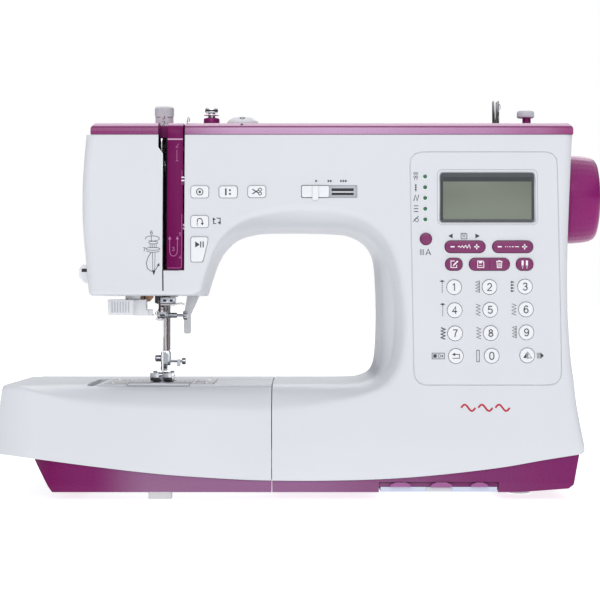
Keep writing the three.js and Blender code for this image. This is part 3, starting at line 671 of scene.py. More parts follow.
# white plastic painted lighter than the body white to make up for the shade the threader sits in
M["threader"] = plastic("m_threader_brightened", (0.86, 0.87, 0.89), 0.4, 0.02, 1300, 0.02, 0.4)
# painted highlight colour: lighter lilac on the upward rounded edges of the magenta parts
M["lilac"] = plastic("m_lilac", (0.52, 0.30, 0.45), 0.38, 0.04, 1300, 0.02, 0.5)
M["magenta_key"] = plastic("m_magenta_key", (0.1720, 0.0096, 0.1000), 0.34, 0.03, 1500, 0.02, 0.5)
M["grey"] = plastic("m_grey", (0.46, 0.48, 0.52), 0.45, 0.03, 1300, 0.03, 0.4)
M["pale_grey"] = plastic("m_pale_grey", (0.58, 0.60, 0.64), 0.4, 0.02, 1300, 0.03, 0.4)
M["dark"] = plastic("m_dark", (0.018, 0.018, 0.022), 0.45, 0.1, 1300, 0.05, 0.4)
# near-black painted shade for inner faces of the shells, the channel back and the roof of the card recess
M["inside"] = plastic("m_inside_shade", (0.03, 0.028, 0.034), 0.6, 0.1, 1300, 0.05, 0.3)
M["rubber"] = plastic("m_rubber", (0.60, 0.60, 0.62), 0.75, 0.06, 2500, 0.12, 0.2)
M["print"] = plastic("m_print", (0.0500, 0.0550, 0.0650), 0.6, 0.04, 2500, 0.02, 0.2)
M["print_light"] = plastic("m_print_light", (0.36, 0.38, 0.42), 0.6, 0.04, 2500, 0.02, 0.2)
M["print_white"] = plastic("m_print_white", (0.86, 0.80, 0.85), 0.6, 0.02, 2500, 0.02, 0.2)
M["mark"] = plastic("m_mark", (0.45, 0.012, 0.035), 0.45, 0.03, 2500, 0.02, 0.4)
M["steel"] = brushed("m_steel", (0.62, 0.62, 0.64), 0.22, 2)
M["steel_x"] = brushed("m_steel_x", (0.60, 0.60, 0.62), 0.28, 0)
M["chrome"] = plastic("m_chrome", (0.72, 0.72, 0.74), 0.12, 0.03, 600, 0.01, 0.5, 0, 1.0, 0.03)
M["plate"] = brushed("m_plate", (0.50, 0.50, 0.52), 0.3, 0)
M["cast"] = plastic("m_cast", (0.45, 0.46, 0.48), 0.55, 0.12, 700, 0.35, 0.5, 0, 0.9)
M["copper"] = plastic("m_copper", (0.42, 0.24, 0.15), 0.35, 0.08, 900, 0.05, 0.5, 0, 0.8)
M["led"] = plastic("m_led", (0.006, 0.13, 0.045), 0.25, 0.2, 900, 0.02, 0.6)
M["amber"] = plastic("m_amber", (0.75, 0.28, 0.06), 0.4, 0.08, 900, 0.02, 0.5)


def lcd_material():
    """Reflective segment display: vertical tone, faint pixel rows and a dull film."""
    m = plastic("m_lcd", (0.150, 0.172, 0.138), 0.3, 0.03, 2000, 0.0, 0.5)
    nt = m.node_tree
    b = nt.nodes["Principled BSDF"]
    tc = next(n for n in nt.nodes if n.type == "TEX_COORD")
    sep = nt.nodes.new("ShaderNodeSeparateXYZ")
    nt.links.new(tc.outputs["Object"], sep.inputs[0])
    mr = nt.nodes.new("ShaderNodeMapRange")
    mr.inputs["From Min"].default_value = 0.197; mr.inputs["From Max"].default_value = 0.229
    nt.links.new(sep.outputs["Z"], mr.inputs["Value"])
    cr = nt.nodes.new("ShaderNodeValToRGB")
    cr.color_ramp.elements[0].color = (0.175, 0.200, 0.158, 1)
    cr.color_ramp.elements[1].color = (0.135, 0.155, 0.122, 1)
    nt.links.new(mr.outputs["Result"], cr.inputs["Fac"])
    w = nt.nodes.new("ShaderNodeTexWave"); w.bands_direction = "Z"; w.inputs["Scale"].default_value = 700
    nt.links.new(tc.outputs["Object"], w.inputs["Vector"])
    mx = nt.nodes.new("ShaderNodeMixRGB"); mx.blend_type = "MULTIPLY"; mx.inputs["Fac"].default_value = 0.05
    nt.links.new(cr.outputs["Color"], mx.inputs["Color1"]); nt.links.new(w.outputs["Color"], mx.inputs["Color2"])
    nt.links.new(mx.outputs["Color"], b.inputs["Base Color"])
    return m


M["lcd"] = lcd_material()


def clear_material():
    m = plastic("m_clear", (0.80, 0.84, 0.88), 0.12, 0.01, 900, 0.01, 0.5)
    b = m.node_tree.nodes["Principled BSDF"]
    b.inputs["Alpha"].default_value = 0.45
    return m


M["clear"] = clear_material()


def paint_node(name, mat):
    ob = frame["nodes"][name] if isinstance(frame["nodes"], dict) else bpy.data.objects[name]
    ob = ob if isinstance(ob, bpy.types.Object) else bpy.data.objects[name]
    ob.data.materials.clear()
    ob.data.materials.append(mat)
    for s in ob.material_slots:
        s.material = mat
    return ob


# ---------------------------------------------------------------- white shells
A_OUT = fillet([tuple(p) for p in list(smooth(HEAD_LEFT, 4)) + [(-153.1, 300), (191.4, 300)]
                + list(smooth(RIGHT, 4)) + [(190, -30), (-190, -30), (-214, 31.6), (-218.4, 32.5), (-218.6, 38.3),
                                            (-219.8, 40.1), (-218.7, 44.4), (-215.6, 57.1), (-213.5, 71.8),
                                            (-212.3, 78), (-210.5, 84), (-210.5, 110), (-150.3, 110)]], 1.2, 3)
REAR_PROFILE = [(94, 8), (97, 25), (98, 45), (97, 70), (92, 77), (84, 80.5), (54, 80.5), (50, 85), (50, 300)]
B_OUT = [tuple(p) for p in smooth([(-90.5, -30)] + FRONT, 5)] + [(-82, 300)] + REAR_PROFILE[::-1] + [(92, -30)]
LO, HI = (-245, -40), (230, 310)
fA = Field2(A_OUT, LO, HI, 1.0)
fB = Field2(B_OUT, (-125, -40), (125, 310), 1.0)
ring_i = [tuple(p) for p in smooth(INNER, 6)] + AIR
ring_m = [tuple(p) for p in smooth(MIDDLE, 6)] + AIR
ring_c = [tuple(p) for p in smooth(CREASE, 6)] + AIR
fI, fM, fC = (Field2(q, LO, HI, 1.0) for q in (ring_i, ring_m, ring_c))
ARC_S = smooth(ARC, 6)


def scoop_field(x, y, z):
    t = y - face_y(z)
    i, m, c = fI(x, z), fM(x, z), fC(x, z)
    u = np.clip(t / 13, 0, 1)
    v = np.clip((t - 13) / 17, 0, 1)
    k = u * (1.35 - 0.35 * u)
    w = 1 - (1 - v) ** 2
    return c + (m - c) * k + (i - m) * w


def body_field(x, y, z):
    a = fA(x, z)
    f = rmax(a, fB(y, z), 6.0)
    f = np.maximum(f, np.where(x < -100, plan_field(x, y, -219.9, 300, -98.1, 98.1, 34), -50))
    f = rmax(f, -scoop_field(x, y, z), 2.6)
    return np.maximum(f, np.maximum(10.2 - z, z - 260.3))


H = 2.6 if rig.quick() else 1.7
shell = nets("shell", body_field, (-224, -102, 4), (204, 102, 266), H)


def copy_mesh(me):
    return me.copy()


BIG = 400
arc_poly = [tuple(p) for p in ARC_S] + [(BIG, 34), (BIG, BIG), (-BIG, BIG), (-BIG, 31.4)]
trim = boolean(prism("arc", arc_poly, -130, 130), [prism("top", [(-BIG, BODY_TOP_Z), (BIG, BODY_TOP_Z), (BIG, 500),
                                                                (-BIG, 500)], -140, 140)])
shell = boolean(shell, [trim], "INTERSECT")

table = boolean(copy_mesh(shell), [box_me(-300, SEAM_X - 0.3, -150, 150, -20, 98)], "INTERSECT")
upper = boolean(shell, [box_me(-300, SEAM_X + 0.3, -150, 150, -30, 98)])
front = boolean(copy_mesh(upper), [box_me(-300, 300, SPLIT_Y - 0.15, 200, -50, 400)])
rear = boolean(upper, [box_me(-300, 300, -200, SPLIT_Y + 0.15, -50, 400)])

WALL = 3.5
hollow_f = [(y + WALL, (z if z > 10 else 0)) for y, z in FRONT] + [(-80, 266), (SPLIT_Y + 2, 266), (SPLIT_Y + 2, 0)]
hollow_r = [(SPLIT_Y - 2, 0), (90.5, 0), (93.5, 25), (94.5, 45), (93.5, 68), (88, 75), (82, 77), (50, 77), (46.5, 84),
            (46.5, 262), (SPLIT_Y - 2, 262)]
cav_f = boolean(prism("c", CAVITY, -110, 0), [prism("h", hollow_f, -170, 220, "x")], "INTERSECT")
cav_r = boolean(prism("c", CAVITY, -60, 110), [prism("h", hollow_r, -170, 220, "x")], "INTERSECT")


def shared():
    return [box_me(-28, -10, -73, 4.6, 38, 74), box_me(-112, -91, -46, -6, 140, 150),
            box_me(-134, -113, -50, -30, 140, 150), box_me(-91, -73, -6, 21.5, 140, 150),
            cyl((180, -18, 215.2), (206, -18, 215.2), 7, 32)]


front = boolean(front, [cav_f] + shared())
rear = boolean(rear, [cav_r] + shared() + [box_me(180, 205, 21.4, 34.6, 61.4, 74.6)])

# ---------------------------------------------------------------- controls on the front
CONTROLS = {
    "needle_updown_button": (-78.4, 212.6, -66.1, 220.8, 1.8), "needle_position_button": (-58.6, 212.6, -45.8, 220.8, 1.8),
    "thread_cut_button": (-38.3, 212.8, -25.9, 221, 1.8), "reverse_button": (-78.4, 191.6, -66.1, 199.8, 1.8),
    "width_rocker": (100.1, 173.8, 128.5, 182.2, 4.1), "length_rocker": (133.5, 173.8, 162, 182.2, 4.1),
    "edit_button": (100.4, 161.4, 112.3, 170, 4.0), "memory_rocker": (117.1, 161.4, 145.5, 170, 4.1),
    "twin_needle_button": (150.1, 161.4, 162, 170, 4.0)}
KEYS = {"key_1": (106.5, 149.6), "key_2": (131.3, 149.7), "key_3": (156.2, 150), "key_4": (106.8, 133.4),
        "key_5": (131.7, 133.7), "key_6": (156.8, 134), "key_7": (107, 117.2), "key_8": (132, 117.4),
        "key_9": (157, 117.9), "key_back": (107.5, 101.3), "key_0": (132.6, 101.5), "key_mirror": (157.5, 101.8),
        "mode_button": (86.8, 183.5)}
START = [(-78.3, 184.8), (-66.2, 184.8), (-67.0, 180.0), (-70.1, 167.4), (-78.3, 167.4)]
cuts = []
G = 0.35
for name, (x0, z0, x1, z1, r) in CONTROLS.items():
    y = float(face_y((z0 + z1) / 2))
    cuts.append(prism("k", round_rect(x0 - G, z0 - G, x1 + G, z1 + G, r + G), y - 6, y + 8))
for name, (x, z) in KEYS.items():
    r = 4.1 if name == "mode_button" else 5.1
    y = float(face_y(z))
    cuts.append(cyl((x, y - 6, z), (x, y + 8, z), r + G, 40))
y = float(face_y(176))
start_wide = fillet([(x + (G if x > -72.5 else -G), z + (G if z > 176 else -G)) for x, z in START], 1.9, 4)
cuts.append(prism("k", start_wide, y - 6, y + 8))
y = float(face_y(217))
cuts.append(prism("k", round_rect(-0.9, 212.4, 38.7, 221.6, 1.2), y - 6, y + 2.4))
cuts.append(box_me(8, 30.2, y - 2, y + 8, 215.8, 218.2))
y = float(face_y(213))
cuts.append(prism("k", round_rect(97.6, 196, 163, 230, 1.5), y - 6, y + 10))
# bevelled frame round the display
lcd_in, lcd_out = round_rect(97.6, 196, 163, 230, 1.5), round_rect(95.7, 194.2, 164.9, 231.8, 3.0)
yb = float(face_y(213))
v = [(a, yb + 2.2, b) for a, b in lcd_in] + [(a, float(face_y(b)) - 0.6, b) for a, b in lcd_out]
n = len(lcd_in)
cuts.append(to_mesh("bev", v, [list(range(n)), list(range(n, 2 * n))] + [[i, (i + 1) % n, n + (i + 1) % n, n + i]
                                                                       for i in range(n)]))
# thread channel
cuts.append(prism("ch", [(-98.5, 161.4), (-98.5, 244), (-101.8, 248.5), (-101.8, 270), (-83, 270), (-83, 161.4)],
                  -110, -60))
front = boolean(front, cuts)


# groove that frames the control panel
def groove(me, pts, width, depth, closed=True):
    P = [Vector(p) for p in pts]
    m = len(P)
    vs, fs = [], []
    for i, p in enumerate(P):
        a = P[i - 1] if (closed or i) else p
        b = P[(i + 1) % m] if (closed or i < m - 1) else p
        d = (b - a).normalized()
        nrm = Vector((-d.y, d.x)) * width / 2
        for s in (1, -1):
            q = p + nrm * s
            fy = float(face_y(q.y))
            vs += [(q.x, fy - 1.0, q.y), (q.x, fy + depth, q.y)]
    for i in range(m if closed else m - 1):
        j = (i + 1) % m
        a, b = i * 4, j * 4
        fs += [[a, b, b + 1, a + 1], [a + 2, a + 3, b + 3, b + 2], [a, a + 2, b + 2, b], [a + 1, b + 1, b + 3, a + 3]]
    if not closed:
        e = (m - 1) * 4
        fs += [[0, 1, 3, 2], [e, e + 2, e + 3, e + 1]]
    return boolean(me, [to_mesh("g", vs, fs)])


PANEL = [(75.8, 236), (76.6, 240.5), (79.4, 243.6), (84.0, 245.0)] + [(84 + 9 * i, 245.1) for i in range(1, 10)] + \
        [(172.0, 245.1), (176.4, 243.6), (179.0, 240.4), (179.6, 236)] + \
        [(179.6 + 2.0 * (236 - z) / 150.0, z) for z in range(226, 90, -10)] + \
        [(181.5, 90), (180.6, 85.6), (177.6, 82.2), (173.2, 81.0)] + [(173 - 9 * i, 81.0) for i in range(1, 10)] + \
        [(86.2, 81.0), (81.8, 82.4), (79.0, 85.6), (78.0, 90)] + \
        [(78.0 - 2.2 * (z - 90) / 146.0, z) for z in range(100, 236, 10)]
front = groove(front, PANEL, 0.75, 0.7)


def assign(me, mats, inner=None):
    me.materials.clear()
    for m in mats:
        me.materials.append(m)


def paint_shade_inside(me, test):
    """Second material, a near-black painted shade, on the faces that a test of centre and normal picks."""
    for p in me.polygons:
        c = p.center / MM
        if test(c, p.normal):
            p.material_index = 1


front_ob = add("shell_front", front, None)
assign(front, [M["white"], M["inside"]])
# channel walls and the inner faces of the shell get the painted shade
paint_shade_inside(front, lambda c, n: -101.9 < c.x < -82.8 and c.z > 161 and c.y < -59 and abs(n.y) < 0.9
              and (abs(n.x) > 0.5 or n.z > 0.5) and c.x > -101.85 and c.y > float(face_y(c.z)) + 1.2)
paint_shade_inside(front, lambda c, n: n.y > 0.3 and c.y > float(face_y(min(c.z, 257))) + 3.0 and c.z > 30
              and scoop_field(np.array([c.x]), np.array([c.y]), np.array([c.z]))[0] > 3.2)
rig.replaces(front_ob, "front_cover")
rear_ob = add("shell_rear", rear, M["white"])
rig.replaces(rear_ob, "rear_cover")

# extension table: slot for the free arm and the hollow below
ARM_Y = (-77, 7)


def plan_pts(x0, y1, r, right=0):
    out = [(right, -y1), (right, y1)]
    for i in range(9):
        a = math.pi / 2 + i / 8 * math.pi / 2
        out.append((x0 + r + r * math.cos(a), y1 - r + r * math.sin(a)))
    for i in range(9):
        a = math.pi + i / 8 * math.pi / 2
        out.append((x0 + r + r * math.cos(a), -y1 + r + r * math.sin(a)))
    return out


table = boolean(table, [box_me(-153, 0, ARM_Y[0] - 1.2, ARM_Y[1] + 1.2, -10, 120)])
hol = boolean(prism("h", plan_pts(-211, 92, 28), 0, 57, "z"),
              [box_me(-156.5, 10, ARM_Y[0] - 4.4, ARM_Y[1] + 4.4, -10, 120), box_me(SEAM_X - 3.6, 15, -120, 120, -20, 130)])
table = boolean(table, [hol])
for x0, z0, x1, z1 in ((-216.2, 70.0, -212.4, 71.8), (-218.6, 57.0, -213.8, 58.8), (-220.6, 47.4, -216.6, 49.2)):
    table = boolean(table, [box_me(x0, x1, -22, 22, z0, z1)])
table_ob = add("shell_table", table, M["white"], "extension_table")
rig.replaces(table_ob, "extension_table")

# ---------------------------------------------------------------- top cover
TC_PROFILE = [(-87.4, 257.7), (-87.6, 260), (-86.4, 263.8), (-82, 265.9), (-70, TOP_Z), (40, TOP_Z), (47, 264), (50, 257.7)]
t_pts = [tuple(p) for p in fillet(TC_PROFILE, 1.5, 4)]
top = prism("top", t_pts, -170, 220, "x")
ends = fillet([(-149.6, 250), (-149.6, 262.4), (-146.4, 266.2), (-140, 266.8), (182, 266.8), (188, 266.2), (191.2, 262.4),
               (191.2, 250)], 2.0, 4)
top = boolean(top, [prism("e", ends, -110, 110)], "INTERSECT")
top = boolean(top, [prism("p", plan_pts(-149.6, 140, 10, 0), 240, 280, "z")], "INTERSECT") if False else top
under = [box_me(-146, -3, -54, 40, 255, 262.6), box_me(-78, 130, -83, -45, 255, 262.6), box_me(120, 134, -46, 4, 255, 262.6),
         box_me(154, 187, -83, 44, 255, 262.6)]
top = boolean(top, under)
top = boolean(top, [box_me(-9, 139, 5, 45.6, 246.5, 262), box_me(14, 118, -42, 4, 247.5, 262)], "UNION")
top = boolean(top, [prism("h", round_rect(-5, 9, 135, 43, 3), 249.5, 280, "z"),
                    prism("h", round_rect(18, -38, 114, 0, 2.5), 250.5, 280, "z"),
                    prism("h", round_rect(139, -31.5, 152, -24.5, 1.5), 240, 280, "z"),
                    box_me(-101.9, -82.9, -110, -56, 240, 280), cyl((-102.5, -17, 240), (-102.5, -17, 280), 3.2, 24)])
# parting groove along the front between the band and the top
top = boolean(top, [prism("g", [(-95, 262.5), (-86.0, 262.5), (-86.0, 263.3), (-95, 263.3)], -160, 200, "x")])
top_ob = add("top_lid", top, None, "root", 28)
assign(top, [M["magenta"], M["lilac"], M["band"]])
# front faces of the rounded edge that look up get the painted highlight; the front of the band gets the painted sheen
for p in top.polygons:
    c = p.center / MM
    if c.y < -80 and p.normal.z > 0.2 and c.z > 263.2 and p.normal.y < -0.05:
        p.material_index = 1
    elif c.y < -84 and p.normal.y < -0.3 and c.z < 262.6:
        p.material_index = 2
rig.replaces(top_ob, "top_cover")

# ---------------------------------------------------------------- coloured base
BASE_PROFILE = fillet([(-88, BOTTOM_Z), (-92.6, 12), (-94.5, 36), (94.5, 36), (92.6, 12), (88, BOTTOM_Z)], 2.5, 4)
arc_r = [tuple(p) for p in ARC_S if p[0] >= SEAM_X]
out = [(SEAM_X + 0.3, BOTTOM_Z), (150, BOTTOM_Z), (187.4, 7.8), (190.8, 10.6), (194.4, 32.1)] + \
      [(x, z - 0.35) for x, z in arc_r[:-1][::-1] if x < 194 and x > SEAM_X + 0.5] + [(SEAM_X + 0.3, 13.4)]
base = boolean(prism("b", out, -110, 110), [prism("bp", BASE_PROFILE, -60, 220, "x")], "INTERSECT")
base = boolean(base, [prism("plan", [(-70, -120), (-70, 120)] + [(194.6 - 18 + 18 * math.cos(a), 94.6 - 18 + 18 * math.sin(a))
                                                              for a in np.linspace(math.pi / 2, 0, 9)]
                            + [(194.6 - 18 + 18 * math.cos(a), -94.6 + 18 + 18 * math.sin(a))
                               for a in np.linspace(0, -math.pi / 2, 9)], -10, 100, "z")], "INTERSECT") if False else base
inner = [(-84, 8), (-89, 14), (-91, 60), (91, 60), (89, 14), (84, 8)]
hollow = boolean(box_me(SEAM_X + 3.5, 188, -100, 100, 8, 60), [prism("i", inner, -60, 220, "x")], "INTERSECT")
hollow = boolean(hollow, [box_me(49, 143, -110, -2, 0, 15.5)])
base = boolean(base, [hollow, box_me(53.9, 138, -110, -6, 0, 12.6)])
base_ob = add("base_shell", base, M["base"])
bevel_obj(base_ob, 0.8, 2, 40)
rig.replaces(base_ob, "base_tray")

skirt_out = [(SEAM_X - 0.3, BOTTOM_Z), (-176.5, BOTTOM_Z), (-190.8, 29.3)] + \
            [(x, z - 0.35) for x, z in ARC_S if -189 < x < SEAM_X - 0.5] + [(SEAM_X - 0.3, 13.4)]
skirt = boolean(prism("s", skirt_out, -110, 110), [prism("sp", BASE_PROFILE, -240, 0, "x")], "INTERSECT")
skirt = boolean(skirt, [prism("pl", plan_pts(-196, 94.6, 32), 0, 100, "z")], "INTERSECT")
tub = boolean(prism("t", plan_pts(-186, 90.5, 28), 7.6, 90, "z"),
              [box_me(-156.5, 10, ARM_Y[0] - 4.4, ARM_Y[1] + 4.4, -10, 120), box_me(SEAM_X - 3.6, 15, -120, 120, -20, 130)])
tub = boolean(tub, [prism("q", [(-85, 7.6), (-89.5, 14), (-91, 95), (91, 95), (89.5, 14), (85, 7.6)], -240, 10, "x")], "INTERSECT")
skirt = boolean(skirt, [tub, box_me(-153, 5, ARM_Y[0] - 1.2, ARM_Y[1] + 1.2, -10, 120)])
skirt_ob = add("skirt_shell", skirt, M["base"], "extension_table")
bevel_obj(skirt_ob, 0.8, 2, 40)
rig.replaces(skirt_ob, "extension_table_skirt")

# ---------------------------------------------------------------- stage and light
sm = bpy.data.meshes.new("floor")
sm.from_pydata([(-30, -30, -0.0002), (30, -30, -0.0002), (30, 30, -0.0002), (-30, 30, -0.0002)], [], [(0, 1, 2, 3)])
floor = bpy.data.objects.new("floor", sm)
scene.collection.objects.link(floor)
fm = bpy.data.materials.new("m_floor"); fm.use_nodes = True
fb = fm.node_tree.nodes["Principled BSDF"]
fb.inputs["Base Color"].default_value = (0.55, 0.55, 0.56, 1)
fb.inputs["Roughness"].default_value = 0.9
fb.inputs["Specular IOR Level"].default_value = 0.0
fb.inputs["Emission Color"].default_value = (1, 1, 1, 1)
fl, fn = fm.node_tree.links, fm.node_tree.nodes
flp = fn.new("ShaderNodeLightPath"); fmr = fn.new("ShaderNodeMapRange")
fmr.inputs["To Min"].default_value = 0.82; fmr.inputs["To Max"].default_value = 0.80
fl.new(flp.outputs["Is Camera Ray"], fmr.inputs["Value"])
fgeo = fn.new("ShaderNodeNewGeometry"); fmap = fn.new("ShaderNodeMapping")
fmap.inputs["Location"].default_value = (-0.06, 0.26, 0)
fdist = fn.new("ShaderNodeVectorMath"); fdist.operation = "LENGTH"
fl.new(fgeo.outputs["Position"], fmap.inputs["Vector"]); fl.new(fmap.outputs["Vector"], fdist.inputs[0])
ffal = fn.new("ShaderNodeMapRange"); ffal.inputs["From Min"].default_value = 0.14; ffal.inputs["From Max"].default_value = 0.32
ffal.inputs["To Min"].default_value = 0.35; ffal.inputs["To Max"].default_value = 0.0
fl.new(fdist.outputs["Value"], ffal.inputs["Value"])
fg = fn.new("ShaderNodeMath"); fg.operation = "MULTIPLY"
fl.new(flp.outputs["Is Glossy Ray"], fg.inputs[0]); fl.new(ffal.outputs["Result"], fg.inputs[1])
fa = fn.new("ShaderNodeMath"); fa.operation = "ADD"
fl.new(fmr.outputs["Result"], fa.inputs[0]); fl.new(fg.outputs["Value"], fa.inputs[1])
fl.new(fa.outputs["Value"], fb.inputs["Emission Strength"])
sm.materials.append(fm)
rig.stage(floor)

world = bpy.data.worlds.new("world"); scene.world = world
world.use_nodes = True
wn, wl = world.node_tree.nodes, world.node_tree.links
bg = wn["Background"]
wtc = wn.new("ShaderNodeTexCoord"); wsep = wn.new("ShaderNodeSeparateXYZ")
wl.new(wtc.outputs["Generated"], wsep.inputs[0])
wr = wn.new("ShaderNodeValToRGB")
wr.color_ramp.elements[0].position = 0.0; wr.color_ramp.elements[0].color = (0.60, 0.605, 0.62, 1)
wr.color_ramp.elements[1].position = 1.0; wr.color_ramp.elements[1].color = (0.90, 0.905, 0.92, 1)
wmr = wn.new("ShaderNodeMapRange"); wmr.inputs["From Min"].default_value = -0.2; wmr.inputs["From Max"].default_value = 1.0
wl.new(wsep.outputs["Z"], wmr.inputs["Value"]); wl.new(wmr.outputs["Result"], wr.inputs["Fac"])
lp = wn.new("ShaderNodeLightPath"); wmix = wn.new("ShaderNodeMixRGB")
wmix.inputs["Color2"].default_value = (1, 1, 1, 1)
wg = wn.new("ShaderNodeValToRGB")
for pos, col in ((0.0, 0.12), (0.36, 0.12), (0.62, 1.5), (1.0, 1.8)):
    e = wg.color_ramp.elements[0] if pos == 0.0 else (wg.color_ramp.elements[-1] if pos == 1.0 else wg.color_ramp.elements.new(pos))
    e.color = (col, col, col * 1.02, 1)
wl.new(wmr.outputs["Result"], wg.inputs["Fac"])
wgm = wn.new("ShaderNodeMixRGB")
wl.new(lp.outputs["Is Glossy Ray"], wgm.inputs["Fac"]); wl.new(wr.outputs["Color"], wgm.inputs["Color1"])
wl.new(wg.outputs["Color"], wgm.inputs["Color2"])
wab = wn.new("ShaderNodeMath"); wab.operation = "ABSOLUTE"; wl.new(wsep.outputs["X"], wab.inputs[0])
wsd = wn.new("ShaderNodeMapRange"); wsd.inputs["From Min"].default_value = 0.35; wsd.inputs["From Max"].default_value = 1.0
wsd.inputs["To Min"].default_value = 1.0; wsd.inputs["To Max"].default_value = 0.35
wl.new(wab.outputs["Value"], wsd.inputs["Value"])
wmul = wn.new("ShaderNodeVectorMath"); wmul.operation = "SCALE"
wl.new(wgm.outputs["Color"], wmul.inputs[0]); wl.new(wsd.outputs["Result"], wmul.inputs["Scale"])
wl.new(lp.outputs["Is Camera Ray"], wmix.inputs["Fac"]); wl.new(wmul.outputs["Vector"], wmix.inputs["Color1"])
wl.new(wmix.outputs["Color"], bg.inputs["Color"])
bg.inputs["Strength"].default_value = 1.0
scene.view_settings.view_transform = "Standard"
scene.view_settings.look = "None"
scene.view_settings.exposure = 0
scene.view_settings.gamma = 1


def area(name, loc, target, size, power, size_y=None):
    l = bpy.data.lights.new(name, "AREA")
    l.energy = power; l.size = size
    if size_y:
        l.shape = "RECTANGLE"; l.size_y = size_y
    o = bpy.data.objects.new(name, l)
    scene.collection.objects.link(o)
    o.location = loc
    o.rotation_euler = (Vector(target) - Vector(loc)).to_track_quat("-Z", "Y").to_euler()
    return o


area("key", (-0.30, -2.1, 1.3), (0, 0, 0.15), 1.4, 9.6)
area("fill", (0.6, -2.2, 0.7), (0, 0, 0.15), 1.3, 4.6)
area("back", (0.2, 1.8, 1.3), (0, 0, 0.15), 1.4, 9.0)

# ---------------------------------------------------------------- printed marks
def ribbon(pts, w, surf, lift=0.12, closed=False):
    """Flat printed line following a front surface; pts in (x, z)."""
    P = [Vector(p) for p in pts]
    m = len(P)
    vs, fs = [], []
    for i, p in enumerate(P):
        a = P[i - 1] if (closed or i) else p
        b = P[(i + 1) % m] if (closed or i < m - 1) else p
        d1 = (p - a).normalized() if (p - a).length > 1e-6 else (b - p).normalized()
        d2 = (b - p).normalized() if (b - p).length > 1e-6 else d1
        n1, n2 = Vector((-d1.y, d1.x)), Vector((-d2.y, d2.x))
        n = (n1 + n2)
        n = n.normalized() if n.length > 0.2 else n1
        k = min(1.8, 1 / max(0.4, n.dot(n1)))
        for s in (1, -1):
            q = p + n * (s * w / 2 * k)
            vs.append((q.x, surf(q.y) - lift, q.y))
    for i in range(m if closed else m - 1):
        j = (i + 1) % m
        fs.append([2 * i, 2 * j, 2 * j + 1, 2 * i + 1])
    return vs, fs


def disc(c, r, surf, lift=0.12, n=20):
    return [(c[0] + r * math.cos(2 * math.pi * i / n), surf(c[1] + r * math.sin(2 * math.pi * i / n)) - lift,
             c[1] + r * math.sin(2 * math.pi * i / n)) for i in range(n)], [list(range(n))]


def patch(pts, surf, lift=0.12):
    return [(x, surf(z) - lift, z) for x, z in pts], [list(range(len(pts)))]


def ink(name, parts, mat, body="root"):
    vs, fs = [], []
    for v, f in parts:
        o = len(vs)
        vs += v
        fs += [[i + o for i in q] for q in f]
    me = bpy.data.meshes.new(name)
    me.from_pydata((np.array(vs) * MM).tolist(), [], fs)
    bm = bmesh.new(); bm.from_mesh(me)
    for q in bm.faces:
        q.normal_update()
        if q.normal.y > 0:
            q.normal_flip()
    bm.to_mesh(me); bm.free()
    return add(name, me, mat, body)


def circ(c, r, n=24, a0=0, a1=360):
    return [(c[0] + r * math.cos(math.radians(a0 + (a1 - a0) * i / n)), c[1] + r * math.sin(math.radians(a0 + (a1 - a0) * i / n)))
            for i in range(n + (0 if a1 - a0 == 360 else 1))]


def fy(z):
    return float(face_y(z))


def flat(y):
    return lambda z: y


DIGIT = {
    "0": [[(-.30, 0), (-.27, .30), (-.14, .47), (0, .5), (.14, .47), (.27, .30), (.30, 0), (.27, -.30), (.14, -.47), (0, -.5), (-.14, -.47), (-.27, -.30), (-.30, 0)]],
    "1": [[(-.2, .28), (.04, .5), (.04, -.5)]],
    "2": [[(-.28, .25), (-.2, .43), (0, .5), (.2, .43), (.28, .24), (.2, .02), (-.3, -.5), (.3, -.5)]],
    "3": [[(-.27, .32), (-.12, .47), (.06, .5), (.24, .38), (.24, .16), (.06, .03), (-.06, .03)], [(.06, .03), (.27, -.1), (.28, -.34), (.08, -.5), (-.12, -.48), (-.29, -.3)]],
    "4": [[(.12, -.5), (.12, .5), (-.32, -.18), (.32, -.18)]],
    "5": [[(.26, .5), (-.2, .5), (-.25, .06), (0, .14), (.22, .04), (.29, -.17), (.2, -.4), (0, -.5), (-.18, -.46), (-.29, -.3)]],
    "6": [[(.25, .33), (.1, .48), (-.05, .49), (-.2, .35), (-.29, .05), (-.28, -.22), (-.18, -.42), (0, -.5), (.2, -.43), (.29, -.2), (.2, .04), (0, .1), (-.2, .02), (-.28, -.14)]],
    "7": [[(-.3, .5), (.3, .5), (.1, .15), (-.06, -.5)]],
    "8": [[(0, .04), (-.2, .14), (-.22, .36), (0, .5), (.22, .36), (.2, .14), (0, .04), (-.24, -.08), (-.28, -.32), (0, -.5), (.28, -.32), (.24, -.08), (0, .04)]],
    "9": [[(.28, .14), (.2, -.02), (0, -.1), (-.2, -.04), (-.29, .2), (-.2, .43), (0, .5), (.18, .42), (.28, .22), (.29, -.05), (.2, -.35), (.05, -.49), (-.1, -.48), (-.25, -.33)]],
}


def digit(ch, c, h, w, surf, lift=0.12):
    return [ribbon([(c[0] + x * h, c[1] + z * h) for x, z in st], w, surf, lift) for st in DIGIT[ch]]


